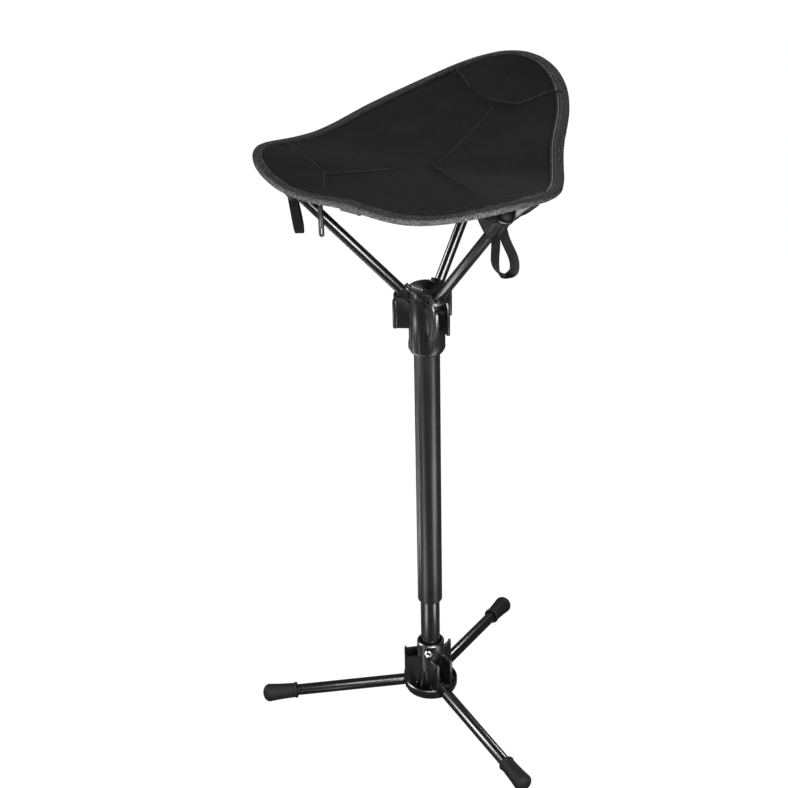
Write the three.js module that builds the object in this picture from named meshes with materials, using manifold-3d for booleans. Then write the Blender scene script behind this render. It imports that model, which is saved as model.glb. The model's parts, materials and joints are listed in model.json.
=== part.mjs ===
import * as THREE from 'three';
import { mergeVertices } from 'three/addons/utils/BufferGeometryUtils.js';
import Module from 'manifold-3d';

const wasm = await Module();
wasm.setup();

// Driving dimensions, in millimetres and degrees. The origin is on the mast's axis at floor level.
const outerTubeRadius = 15;
const innerTubeRadius = 11.8;
const legTubeRadius = 7;
const armTubeRadius = 6;
const mastStep = 153;
const outerTubeLength = 382;
const footReach = 213.8;
const legSlope = 5.77;
const mastTurn = -4.5;
const sides = [
  { name: 'left', turn: 180, armSlope: 46, armLength: 212, loopSlope: -8 },
  { name: 'rear', turn: 60, armSlope: 48.5, armLength: 280, loopSlope: 10 },
  { name: 'front', turn: -60, armSlope: 46, armLength: 234, loopSlope: 10 },
];

// Walls and clearances
const outerTubeWall = 1.5;
const innerTubeWall = 1.5;
const legTubeWall = 1.2;
const armTubeWall = 1;
const seatGap = 0.3;
const turnGap = 0.4;
const cutOverrun = 1;
const grooveDepth = 0.5;
const grooveWidth = 3.2;
const grooveTurn = -20;
const grooveShares = [-1, -0.5, 0, 0.5, 1];

// Base hub
const collarRadius = 17;
const collarHeight = 90;
const collarChamfer = 1.6;
const socketFloor = 55;
const bossRadius = 18;
const bossBottom = 8.5;
const bossRound = 2.5;
const bowlRadius = 33;
const bowlBottom = 17;
const bowlFloor = 3.5;
const bowlWall = 2.5;
const bowlTop = 33;
const bowlFlare = 7;
const legEarTop = 73;
const legEarWall = 3.5;
const legEarHorn = 3.5;
const legPinReach = 19;
const ribThickness = 2.2;
const ribTurns = [58, 94];
const ribHeights = [27, 15];
const ribReach = 29;
const rivetHeight = 78;
const rivetTurn = -102;
const rivetRadius = 5.4;
const rivetHole = 1.7;
const rivetRim = 1.1;
const rivetShank = 2.8;

// Hinge pins and knuckles
const legPinRadius = 2;
const armPinRadius = 1.8;
const pinBevelShare = 0.25;
const legKnuckleSizes = { eye: 8, reach: 14, drop: 7.6, top: 10.5 };
const armKnuckleSizes = { eye: 9.5, reach: 14, drop: 7.6, top: 10 };
const armKnuckleWall = 0.9;
const knuckleShoulderShare = 0.45;
const spigotLength = 16;
const legFoldTurn = 88.8;
const armFoldTurn = -80;

// Feet and arm tips
const footLength = 44;
const footEndRadius = 11.2;
const footMouthRadius = 9.2;
const footDome = 8;
const footBoreDepth = 34;
const footBead = 0.8;
const footBeadLength = 3;
const tipLength = 15;
const tipWall = 0.9;
const tipBoreDepth = 10.4;
const tipDome = 3.6;

// Upper hub
const headRadius = 21.2;
const headSkirt = 38.5;
const headTopAboveTube = 31;
const headChamfer = 4.5;
const armPinDropFromTop = 4.7;
const armPinReach = 18;
const armEarReach = 37.5;
const armEarWall = 3.2;
const armEarBottomDrop = 37.5;
const armEarTopDrop = 4;
const armEarHorn = 6;
const armEarBead = 2.9;
const armEarBeadProud = 1.1;
const cheekReach = 27;
const fluteCount = 9;
const fluteTurn = 20;
const fluteDepth = 0.7;
const fluteWidth = 2.4;
const capRadius = 20.6;
const capThickness = 4.6;
const capRim = 4.6;
const capBevel = 1;
const screwHeadRadius = 3.8;
const screwHeadThickness = 2.2;
const screwShankRadius = 2;
const screwLength = 18;
const screwRecess = 1.2;
const screwSocketShare = 0.4;

// Mast guides and twist lock
const innerTubeTop = 415;
const bushLength = 30;
const plugDepth = 20;
const plugFlange = 3;
const plugNeckRadius = 6;
const lockLength = 22;
const lockSlit = 3;
const plugCapThickness = 3;

// Seat sling: the rim's plan and height are sums of waves round the rear corner's direction
const rimRadius = 175.3;
const rimCornerGrowth = 23.4;
const rimRearGrowth = 10.1;
const rimOvalGrowth = 5.2;
const rimSkewGrowth = 7.5;
const rimSixGrowth = 0.8;
const rimAboveHead = 172.7;
const rimCornerRise = 10.1;
const rimRearRise = 22.6;
const rimSideRise = -4.7;
const rimOvalRise = 11;
const rimSixRise = 3.6;
const slingAboveHead = 153;
const slingBowShare = 1.45;
const slingThickness = 4;
const seamRise = 1.2;
const seamHalfWidth = 7;
const bindingWidth = 11.5;
const bindingThickness = 7.5;

// Corner pockets, pull loops and zip
const pocketLength = 38;
const pocketMouthRadius = 10.6;
const pocketWall = 1.4;
const pocketGap = 0.4;
const pocketRise = 36;
const trimHeight = 100;
const trimReachShare = 1.13;
const loopGap = 16;
const loopDrop = 58;
const loopRibbonWidth = 10;
const loopRibbonThickness = 1.5;
const loopSetback = 28;
const loopNeckShare = 0.33;
const tabStartTurn = 178;
const tabEndTurn = 187;
const tabThickness = 1.3;
const tabOpeningTurn = 48;
const zipStartTurn = 156;
const zipEndTurn = 186;
const zipWidth = 16;
const zipThickness = 1.4;
const zipInset = 12;
const sliderTurn = 159.5;
const sliderWidth = 9;
const sliderLength = 11;
const sliderThickness = 3;
const sliderLug = 1.2;
const bailRadius = 1;
const bailDrop = 5.6;
const pullerLength = 39;
const pullerWidth = 6.6;
const pullerThickness = 1.7;
const pullerHoleLength = 9;
const pullerHoleWidth = 2.6;
const pullerShoulder = 12;

// Facets
const roundSteps = 32;
const smallSteps = 20;
const pinSteps = 12;
const foldSteps = 8;
const arcSteps = 8;
const domeSteps = 4;
const grooveArcSteps = 12;
const slingSteps = 72;
const slingRings = 7;
const bindingSteps = 72;
const bindingSides = 8;
const tabSides = 12;
const tabSteps = 5;
const zipSteps = 12;

// Derived sizes
const radians = Math.PI / 180;
const sidePitch = 360 / sides.length;
const outerTubeTop = mastStep + outerTubeLength;
const headBottom = outerTubeTop - headSkirt;
const headTop = outerTubeTop + headTopAboveTube;
const armPinHeight = headTop - armPinDropFromTop;
const rimHeight = headTop + rimAboveHead;
const slingCentre = headTop + slingAboveHead;
const legSlot = legTubeRadius * 2 + 4 * turnGap;
const legKnuckleWidth = legSlot - 2 * seatGap;
const legEarHalf = legSlot / 2 + legEarWall;
const armSlot = 2 * (armTubeRadius + armKnuckleWall + seatGap);
const armKnuckleWidth = armSlot - 2 * seatGap;
const armEarHalf = armSlot / 2 + armEarWall;
const tipRadius = armTubeRadius + seatGap + tipWall;
const legLength = (footReach - legPinReach) / Math.cos(legSlope * radians);
const footContact = legLength - footDome;
const legPinHeight =
  footContact * Math.sin(legSlope * radians) + footEndRadius * Math.cos(legSlope * radians);

const plastic = { color: 0x2b2b2d, roughness: 0.5, metalness: 0 };
const finishes = {
  plastic,
  anodised: { color: 0x3a3b3d, roughness: 0.35, metalness: 0.8 },
  innerAnodised: { color: 0x4a4b4d, roughness: 0.3, metalness: 0.8 },
  glossTube: { color: 0x18181a, roughness: 0.18, metalness: 0.6 },
  rubber: { color: 0x343436, roughness: 0.8, metalness: 0 },
  steel: { color: 0xc9cacc, roughness: 0.3, metalness: 1 },
  darkSteel: { color: 0x3c3d40, roughness: 0.35, metalness: 1 },
  nylon: { color: 0x8d8f92, roughness: 0.6, metalness: 0 },
  fabric: { color: 0x27272a, roughness: 0.9, metalness: 0 },
  binding: { color: 0x4c4d50, roughness: 0.85, metalness: 0 },
  webbing: { color: 0x202022, roughness: 0.8, metalness: 0 },
};

// Geometry helpers

function solidOf(geometry) {
  const bare = geometry.clone();
  bare.deleteAttribute('normal');
  bare.deleteAttribute('uv');
  const merged = mergeVertices(bare);
  return new wasm.Manifold(
    new wasm.Mesh({
      numProp: 3,
      vertProperties: new Float32Array(merged.attributes.position.array),
      triVerts: new Uint32Array(merged.index.array),
    }),
  );
}

function geometryOf(solid) {
  const mesh = solid.getMesh();
  const geometry = new THREE.BufferGeometry();
  geometry.setAttribute('position', new THREE.BufferAttribute(mesh.vertProperties, 3));
  geometry.setIndex(new THREE.BufferAttribute(mesh.triVerts, 1));
  geometry.computeVertexNormals();
  return geometry;
}

// A profile of [radius, height] points turned round Z, always wound so that its faces point out
function turned(points, steps) {
  const profile = points.map(([radius, height]) => new THREE.Vector2(radius, height));
  const closed = profile[0].equals(profile[profile.length - 1]);
  const area = THREE.ShapeUtils.area(closed ? profile.slice(0, -1) : profile);
  if (area < 0) profile.reverse();
  return new THREE.LatheGeometry(profile, steps).rotateX(90 * radians);
}

function disc(radius, low, high, steps) {
  return turned([[0, low], [radius, low], [radius, high], [0, high]], steps);
}

function ring(inner, outer, low, high, steps) {
  return turned([[inner, low], [outer, low], [outer, high], [inner, high], [inner, low]], steps);
}

// A Z-axis shape laid along X, so that its height runs outward
function alongX(geometry) {
  return geometry.rotateY(90 * radians);
}

// A bar across the radial plane, along Y, at the given reach and height
function crossBar(radius, halfLength, reach, height, steps) {
  return disc(radius, -halfLength, halfLength, steps).rotateX(90 * radians).translate(reach, 0, height);
}

// An outline in the radial plane (x outward, y up) with a width across it
function plate(shape, width, curveSegments = arcSteps) {
  return new THREE.ExtrudeGeometry(shape, { depth: width, bevelEnabled: false, curveSegments })
    .translate(0, 0, -width / 2)
    .rotateX(90 * radians);
}

function outline(points) {
  return new THREE.Shape(points.map(([x, y]) => new THREE.Vector2(x, y)));
}

function mesh(name, geometry, finish) {
  const made = new THREE.Mesh(geometry, new THREE.MeshStandardMaterial(finish));
  made.name = name;
  return made;
}

function group(...children) {
  const made = new THREE.Group();
  made.add(...children);
  return made;
}

function turnedCopy(geometry, turn) {
  return geometry.clone().rotateZ(turn * radians);
}

// Corners of a knuckle's outline in the radial plane, from below its eye round to above it
function knuckleOutline({ eye, reach, drop, top }, grow) {
  const shoulder = reach * knuckleShoulderShare;
  return [
    [0, -eye - grow],
    [shoulder, -drop - grow],
    [reach + grow, -drop - grow],
    [reach + grow, top + grow],
    [shoulder, top + grow],
    [0, eye + grow],
  ];
}

function fan(radius, from, to) {
  const shape = new THREE.Shape();
  shape.moveTo(0, 0);
  shape.absarc(0, 0, radius, from * radians, to * radians, false);
  shape.lineTo(0, 0);
  return shape;
}

// Space round the pin that a knuckle and its tube need from rest to folded
function foldCutter({ slot, sizes, tube, rest, folded, channel }) {
  const grow = turnGap;
  const corners = knuckleOutline(sizes, grow);
  const low = Math.min(rest, folded);
  const high = Math.max(rest, folded);
  const half = tube + grow;
  const straight = outline([[0, -half], [channel, -half], [channel, half], [0, half]]);
  let cutter = solidOf(crossBar(sizes.eye + grow, slot / 2, 0, 0, smallSteps))
    .add(solidOf(plate(fan(channel, low, high), slot, foldSteps)));
  for (const turn of [rest, folded]) {
    cutter = cutter.add(solidOf(plate(outline(corners), slot).rotateY(-turn * radians)));
    cutter = cutter.add(solidOf(plate(straight, slot).rotateY(-turn * radians)));
  }
  for (const [x, y] of corners.slice(1, -1)) {
    const at = Math.atan2(y, x) / radians;
    cutter = cutter.add(solidOf(plate(fan(Math.hypot(x, y), low + at, high + at), slot, foldSteps)));
  }
  return cutter;
}

function knuckle(sizes, { width, pin, tubeInner }) {
  const { eye, reach, drop, top } = sizes;
  const body = outline(knuckleOutline(sizes, 0));
  const arch = new THREE.Shape();
  const half = width / 2;
  arch.moveTo(-half, -drop - cutOverrun);
  arch.lineTo(half, -drop - cutOverrun);
  arch.lineTo(half, top - half * knuckleShoulderShare);
  arch.quadraticCurveTo(half, top, 0, top);
  arch.quadraticCurveTo(-half, top, -half, top - half * knuckleShoulderShare);
  arch.closePath();
  const archLength = reach + 2 * eye;
  const archBar = new THREE.ExtrudeGeometry(
    arch, { depth: archLength, bevelEnabled: false, curveSegments: arcSteps },
  )
    .rotateX(90 * radians)
    .rotateZ(90 * radians)
    .translate(-eye, 0, 0);
  return solidOf(plate(body, width))
    .add(solidOf(crossBar(eye, half, 0, 0, smallSteps)))
    .intersect(solidOf(archBar))
    .add(solidOf(alongX(disc(tubeInner - seatGap, reach - cutOverrun, reach + spigotLength, smallSteps))))
    .subtract(solidOf(crossBar(pin + seatGap, width, 0, 0, pinSteps)));
}

// Headless pin with bevelled ends, just below the outer faces of its ears
function pinGeometry(radius, half) {
  const end = half - seatGap;
  const bevel = radius * pinBevelShare;
  const profile = [
    [0, -end],
    [radius - bevel, -end],
    [radius, bevel - end],
    [radius, end - bevel],
    [radius - bevel, end],
    [0, end],
  ];
  return turned(profile, pinSteps).rotateX(90 * radians);
}

function hollowTube(radius, wall, start, end) {
  return alongX(ring(radius - wall, radius, start, end, smallSteps));
}

// Base hub: collar, ground boss, lobed bowl, ears and gusset ribs

function baseHub() {
  const socketRadius = innerTubeRadius + seatGap;
  const mouthRadius = socketRadius + collarChamfer;
  const column = turned([
    [0, bossBottom],
    [bossRadius - bossRound, bossBottom],
    [bossRadius, bossBottom + bossRound],
    [bossRadius, bowlBottom + bowlFloor],
    [collarRadius, bowlBottom + bowlFloor],
    [collarRadius, collarHeight - collarChamfer],
    [collarRadius - collarChamfer, collarHeight],
    [mouthRadius, collarHeight],
    [socketRadius, collarHeight - 2 * collarChamfer],
    [socketRadius, socketFloor],
    [0, socketFloor],
  ], roundSteps);
  const bowl = turned([
    [0, bowlBottom],
    [bowlRadius - bowlFlare, bowlBottom],
    [bowlRadius - bowlWall / 2, bowlBottom + bowlFloor],
    [bowlRadius, bowlBottom + bowlFlare],
    [bowlRadius, bowlTop - bowlWall / 2],
    [bowlRadius - bowlWall / 2, bowlTop],
    [bowlRadius - bowlWall, bowlTop - bowlWall / 2],
    [bowlRadius - bowlWall, bowlBottom + bowlFlare],
    [bowlRadius - bowlFlare, bowlBottom + bowlFloor],
    [0, bowlBottom + bowlFloor],
  ], roundSteps);
  const earInner = collarRadius - legEarWall;
  const ear = outline([
    [earInner, bowlBottom + bowlFloor / 2],
    [bowlRadius - bowlWall / 2, bowlBottom + bowlFlare],
    [bowlRadius, bowlTop],
    [bowlRadius, legEarTop - legEarHorn],
    [bowlRadius - bowlWall / 2, legEarTop],
    [bowlRadius - legEarHorn, legEarTop - legEarHorn],
    [collarRadius, legEarTop - legEarHorn / 2],
    [earInner, legEarTop - legEarHorn / 2],
  ]);
  const cutter = foldCutter({
    slot: legSlot, sizes: legKnuckleSizes, tube: legTubeRadius,
    rest: -legSlope, folded: legFoldTurn - legSlope, channel: legEarTop,
  }).translate(legPinReach, 0, legPinHeight);
  const pinHole = crossBar(
    legPinRadius + seatGap, legEarHalf + cutOverrun, legPinReach, legPinHeight, pinSteps,
  );
  let hub = solidOf(column).add(solidOf(bowl));
  const bore = solidOf(disc(socketRadius, socketFloor, collarHeight + cutOverrun, roundSteps));
  for (const { turn } of sides) {
    hub = hub.add(solidOf(turnedCopy(plate(ear, 2 * legEarHalf), turn)));
    ribTurns.forEach((ribTurn, index) => {
      const rib = outline([
        [earInner, bowlBottom + bowlFloor / 2],
        [ribReach, bowlBottom + bowlFloor / 2],
        [ribReach, bowlBottom + bowlFlare],
        [collarRadius, bowlBottom + bowlFlare + ribHeights[index]],
        [earInner, bowlBottom + bowlFlare + ribHeights[index]],
      ]);
      hub = hub.add(solidOf(turnedCopy(plate(rib, ribThickness), turn + ribTurn)));
    });
  }
  for (const { turn } of sides) {
    hub = hub.subtract(cutter.rotate([0, 0, turn]));
    hub = hub.subtract(solidOf(turnedCopy(pinHole, turn)));
  }
  const rivetBore = alongX(disc(rivetShank + seatGap, 0, collarRadius + cutOverrun, pinSteps));
  const rivetSeat = alongX(disc(
    rivetRadius + seatGap, collarRadius - rivetRim, collarRadius + cutOverrun, smallSteps,
  ));
  hub = hub.subtract(bore);
  for (const hole of [rivetBore, rivetSeat]) {
    hub = hub.subtract(solidOf(turnedCopy(hole.translate(0, 0, rivetHeight), rivetTurn)));
  }
  return geometryOf(hub);
}

// Hollow eyelet whose rim stands in the collar's seat and whose shank passes the inner tube's wall
function rivet() {
  const face = collarRadius - rivetRim + seatGap;
  const shankEnd = innerTubeRadius - innerTubeWall - cutOverrun;
  const profile = [
    [rivetHole, shankEnd],
    [rivetShank, shankEnd],
    [rivetShank, face],
    [rivetRadius, face],
    [rivetRadius - rivetRim / 2, face + rivetRim],
    [rivetHole + rivetRim, face + 2 * rivetRim],
    [rivetHole, face + rivetRim],
    [rivetHole, shankEnd],
  ];
  return alongX(turned(profile, smallSteps));
}

function innerTube() {
  const low = socketFloor + seatGap;
  const tube = solidOf(ring(innerTubeRadius - innerTubeWall, innerTubeRadius, low, innerTubeTop, roundSteps));
  const hole = alongX(disc(rivetShank + seatGap, 0, collarRadius, pinSteps)).translate(0, 0, rivetHeight);
  return geometryOf(tube.subtract(solidOf(turnedCopy(hole, rivetTurn))));
}

// Points of a domed end, from its widest ring to its tip on the axis
function domePoints(radius, widest, depth, steps) {
  const points = [[radius, widest]];
  for (let step = 1; step < steps; step += 1) {
    const angle = (step / steps) * 90 * radians;
    points.push([radius * Math.cos(angle), widest + depth * Math.sin(angle)]);
  }
  points.push([0, widest + depth]);
  return points;
}

function footCap() {
  const start = legLength - footLength;
  const bore = legTubeRadius + seatGap;
  const profile = [
    [0, start + footBoreDepth],
    [bore, start + footBoreDepth],
    [bore, start],
    [footMouthRadius, start],
    [footMouthRadius + footBead, start + footBeadLength / 2],
    [footMouthRadius, start + footBeadLength],
    ...domePoints(footEndRadius, legLength - footDome, footDome, domeSteps),
  ];
  return alongX(turned(profile, smallSteps));
}

function legParts(name) {
  const tubeStart = legKnuckleSizes.reach + seatGap;
  const tubeEnd = legLength - footLength + footBoreDepth - seatGap;
  const hinge = group(
    mesh(`leg_knuckle_${name}`, geometryOf(knuckle(legKnuckleSizes, {
      width: legKnuckleWidth, pin: legPinRadius, tubeInner: legTubeRadius - legTubeWall,
    })), finishes.plastic),
    mesh(`leg_tube_${name}`, hollowTube(legTubeRadius, legTubeWall, tubeStart, tubeEnd), finishes.glossTube),
    mesh(`foot_cap_${name}`, footCap(), finishes.rubber),
  );
  hinge.position.set(legPinReach, 0, legPinHeight);
  hinge.rotation.y = legSlope * radians;
  const pin = mesh(`leg_pin_${name}`, pinGeometry(legPinRadius, legEarHalf), finishes.darkSteel);
  pin.position.set(legPinReach, 0, legPinHeight);
  return group(hinge, pin);
}

// Outer tube with three pressed grooves, drawn as one extruded section

function groovedSection(radius) {
  const points = [];
  const grooveSpan = (grooveWidth / outerTubeRadius) / 2;
  for (let groove = 0; groove < sides.length; groove += 1) {
    const centre = (groove * sidePitch + grooveTurn) * radians;
    for (const share of grooveShares) {
      const dip = grooveDepth * (1 - share * share);
      const angle = centre + share * grooveSpan;
      points.push([(radius - dip) * Math.cos(angle), (radius - dip) * Math.sin(angle)]);
    }
    const arc = sidePitch * radians - 2 * grooveSpan;
    for (let step = 1; step < grooveArcSteps; step += 1) {
      const angle = centre + grooveSpan + (arc * step) / grooveArcSteps;
      points.push([radius * Math.cos(angle), radius * Math.sin(angle)]);
    }
  }
  return points;
}

function outerTube() {
  const shape = outline(groovedSection(outerTubeRadius));
  shape.holes.push(outline(groovedSection(outerTubeRadius - outerTubeWall)));
  return new THREE.ExtrudeGeometry(shape, { depth: outerTubeLength, bevelEnabled: false })
    .translate(0, 0, mastStep);
}

function lowerBush() {
  const outer = outerTubeRadius - outerTubeWall - grooveDepth - seatGap;
  return ring(innerTubeRadius + seatGap, outer, mastStep + cutOverrun, mastStep + bushLength, roundSteps);
}

function lockPlug() {
  const bore = innerTubeRadius - innerTubeWall - seatGap;
  const seat = innerTubeTop + seatGap;
  const neck = seat + plugFlange;
  const cap = neck + lockLength;
  return turned([
    [0, innerTubeTop - plugDepth],
    [bore, innerTubeTop - plugDepth],
    [bore, seat],
    [innerTubeRadius, seat],
    [innerTubeRadius, neck],
    [plugNeckRadius, neck],
    [plugNeckRadius, cap],
    [innerTubeRadius, cap],
    [innerTubeRadius, cap + plugCapThickness],
    [0, cap + plugCapThickness],
  ], roundSteps);
}

// Split sleeve that the twist spreads against the outer tube
function lockSleeve() {
  const low = innerTubeTop + plugFlange + 2 * seatGap;
  const high = low + lockLength - 2 * seatGap;
  const outer = outerTubeRadius - outerTubeWall - grooveDepth - seatGap;
  const sleeve = solidOf(ring(plugNeckRadius + seatGap, outer, low, high, roundSteps));
  const slit = new THREE.BoxGeometry(outer, lockSlit, high - low + 2 * cutOverrun)
    .translate(outer / 2 + seatGap, 0, (low + high) / 2);
  return geometryOf(sleeve.subtract(solidOf(slit)));
}

// Upper hub: fluted head over the outer tube, slotted for the arms, with long guide ears

function armCutter({ turn, armSlope }) {
  return foldCutter({
    slot: armSlot, sizes: armKnuckleSizes, tube: armTubeRadius,
    rest: armSlope, folded: armFoldTurn, channel: headTop - headBottom,
  }).translate(armPinReach, 0, armPinHeight).rotate([0, 0, turn]);
}

function upperHub() {
  const bore = outerTubeRadius + seatGap;
  const head = turned([
    [bore, headBottom],
    [headRadius - headChamfer / 2, headBottom],
    [headRadius, headBottom + headChamfer],
    [headRadius, headTop],
    [0, headTop],
    [0, outerTubeTop + seatGap],
    [bore, outerTubeTop + seatGap],
    [bore, headBottom],
  ], roundSteps);
  const earBottom = headTop - armEarBottomDrop;
  const earTop = headTop - armEarTopDrop;
  const earInner = bore + seatGap;
  const ear = outline([
    [earInner, earBottom],
    [armEarReach - armEarBead, earBottom],
    [armEarReach, earBottom + armEarBead],
    [armEarReach, earTop],
    [armEarReach - armEarBead, earTop + armEarHorn],
    [cheekReach, headTop],
    [earInner, headTop],
  ]);
  const pinHole = crossBar(
    armPinRadius + seatGap, armEarHalf + cutOverrun, armPinReach, armPinHeight, pinSteps,
  );
  let hub = solidOf(head);
  for (const { turn } of sides) {
    hub = hub.add(solidOf(turnedCopy(plate(ear, 2 * armEarHalf), turn)));
    for (const side of [-1, 1]) {
      const bead = disc(armEarBead, earBottom, earTop, pinSteps)
        .translate(armEarReach - armEarBead, side * (armEarHalf - armEarBead + armEarBeadProud), 0);
      hub = hub.add(solidOf(turnedCopy(bead, turn)));
    }
  }
  for (let flute = 0; flute < fluteCount; flute += 1) {
    const cut = new THREE.BoxGeometry(2 * fluteDepth, fluteWidth, headTop - headBottom + 2 * cutOverrun)
      .translate(headRadius, 0, (headTop + headBottom) / 2);
    hub = hub.subtract(solidOf(turnedCopy(cut, fluteTurn + (flute * 360) / fluteCount)));
  }
  for (const side of sides) {
    hub = hub.subtract(armCutter(side)).subtract(solidOf(turnedCopy(pinHole, side.turn)));
  }
  const guide = disc(bore, headBottom - cutOverrun, outerTubeTop + seatGap, roundSteps);
  const screwHole = disc(screwShankRadius + seatGap, outerTubeTop, headTop + cutOverrun, pinSteps);
  return geometryOf(hub.subtract(solidOf(guide)).subtract(solidOf(screwHole)));
}

function hubCap() {
  const low = headTop + seatGap;
  const high = low + capThickness;
  const recess = screwHeadRadius + seatGap;
  const floor = high - screwHeadThickness - screwRecess;
  const dome = turned([
    [screwShankRadius + seatGap, low],
    [capRadius, low],
    [capRadius, high + capRim - capBevel],
    [capRadius - capBevel, high + capRim],
    [capRadius - 2 * capBevel, high + capRim],
    [recess + 2 * capBevel, high],
    [recess, high - capBevel / 2],
    [recess, floor],
    [screwShankRadius + seatGap, floor],
    [screwShankRadius + seatGap, low],
  ], roundSteps);
  let cap = solidOf(dome);
  for (const side of sides) cap = cap.subtract(armCutter(side));
  return geometryOf(cap);
}

function hubScrew() {
  const floor = headTop + seatGap + capThickness - screwHeadThickness - screwRecess + seatGap;
  const top = floor + screwHeadThickness;
  return turned([
    [0, floor - screwLength],
    [screwShankRadius, floor - screwLength],
    [screwShankRadius, floor],
    [screwHeadRadius, floor],
    [screwHeadRadius, top - screwRecess / 2],
    [screwHeadRadius * screwSocketShare, top],
    [screwHeadRadius * screwSocketShare, top - screwRecess],
    [0, top - screwRecess],
  ], smallSteps);
}

function armTip(length) {
  const start = length - tipLength;
  const bore = armTubeRadius + seatGap;
  const profile = [
    [0, start + tipBoreDepth],
    [bore, start + tipBoreDepth],
    [bore, start],
    [tipRadius, start],
    ...domePoints(tipRadius, length - tipDome, tipDome, domeSteps),
  ];
  return alongX(turned(profile, smallSteps));
}

function armParts({ name, armSlope, armLength }) {
  const tubeStart = armKnuckleSizes.reach + seatGap;
  const tubeEnd = armLength - tipLength + tipBoreDepth - seatGap;
  const hinge = group(
    mesh(`arm_knuckle_${name}`, geometryOf(knuckle(armKnuckleSizes, {
      width: armKnuckleWidth, pin: armPinRadius, tubeInner: armTubeRadius - armTubeWall,
    })), finishes.plastic),
    mesh(`arm_tube_${name}`, hollowTube(armTubeRadius, armTubeWall, tubeStart, tubeEnd), finishes.glossTube),
    mesh(`arm_tip_${name}`, armTip(armLength), finishes.plastic),
  );
  hinge.position.set(armPinReach, 0, armPinHeight);
  hinge.rotation.y = -armSlope * radians;
  const pin = mesh(`arm_pin_${name}`, pinGeometry(armPinRadius, armEarHalf), finishes.darkSteel);
  pin.position.set(armPinReach, 0, armPinHeight);
  return group(hinge, pin);
}

// Seat sling

const rearTurn = sides[1].turn;

function rimPoint(angle) {
  const a = angle * radians;
  const radius = rimRadius + rimCornerGrowth * Math.cos(3 * a) + rimRearGrowth * Math.cos(a)
    + rimOvalGrowth * Math.cos(2 * a) + rimSkewGrowth * Math.sin(2 * a) + rimSixGrowth * Math.cos(6 * a);
  const height = rimHeight + rimCornerRise * Math.cos(3 * a) + rimRearRise * Math.cos(a)
    + rimSideRise * Math.sin(a) + rimOvalRise * Math.cos(2 * a) + rimSixRise * Math.cos(6 * a);
  const turn = (angle + rearTurn) * radians;
  return new THREE.Vector3(radius * Math.cos(turn), radius * Math.sin(turn), height);
}

// Horizontal direction out of the rim at the given angle
function rimOutward(angle) {
  const along = rimPoint(angle + 1).sub(rimPoint(angle - 1));
  return new THREE.Vector3(along.y, -along.x, 0).normalize();
}

function rimInset(angle, inset) {
  return rimPoint(angle).addScaledVector(rimOutward(angle), -inset);
}

// Middle surface of the sling at a share of the way from the centre to the rim
function slingPoint(angle, share, inset) {
  const edge = rimInset(angle, inset);
  const rise = (edge.z - slingCentre) * share ** slingBowShare;
  const fromSeam = angle - Math.round(angle / sidePitch) * sidePitch;
  const off = Math.sin(fromSeam * radians) * edge.length() * share;
  const seam = seamRise * Math.exp(-((off / seamHalfWidth) ** 2)) * (1 - share);
  return new THREE.Vector3(edge.x * share, edge.y * share, slingCentre + rise + seam);
}

// Closed sheet between an upper and a lower offset of the sling's middle surface
function slingSheet(above, below, inset, reachShare = 1) {
  const positions = [];
  const indices = [];
  for (const offset of [above, -below]) {
    const centre = slingPoint(0, 0, inset);
    positions.push(centre.x, centre.y, centre.z + offset);
    for (let ringIndex = 1; ringIndex <= slingRings; ringIndex += 1) {
      for (let step = 0; step < slingSteps; step += 1) {
        const point = slingPoint((step * 360) / slingSteps, (reachShare * ringIndex) / slingRings, inset);
        positions.push(point.x, point.y, point.z + offset);
      }
    }
  }
  const layer = 1 + slingRings * slingSteps;
  const at = (side, ringIndex, step) => side * layer + 1 + (ringIndex - 1) * slingSteps + (step % slingSteps);
  const face = (side, a, b, c) => (side === 0 ? indices.push(a, b, c) : indices.push(a, c, b));
  for (let step = 0; step < slingSteps; step += 1) {
    for (const side of [0, 1]) {
      face(side, side * layer, at(side, 1, step), at(side, 1, step + 1));
      for (let ringIndex = 1; ringIndex < slingRings; ringIndex += 1) {
        const inner = at(side, ringIndex, step);
        const innerNext = at(side, ringIndex, step + 1);
        const outer = at(side, ringIndex + 1, step);
        const outerNext = at(side, ringIndex + 1, step + 1);
        face(side, inner, outer, outerNext);
        face(side, inner, outerNext, innerNext);
      }
    }
    const top = at(0, slingRings, step);
    const topNext = at(0, slingRings, step + 1);
    const low = at(1, slingRings, step);
    const lowNext = at(1, slingRings, step + 1);
    indices.push(top, low, lowNext, top, lowNext, topNext);
  }
  const geometry = new THREE.BufferGeometry();
  geometry.setAttribute('position', new THREE.Float32BufferAttribute(positions, 3));
  geometry.setIndex(indices);
  geometry.computeVertexNormals();
  return geometry;
}

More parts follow.
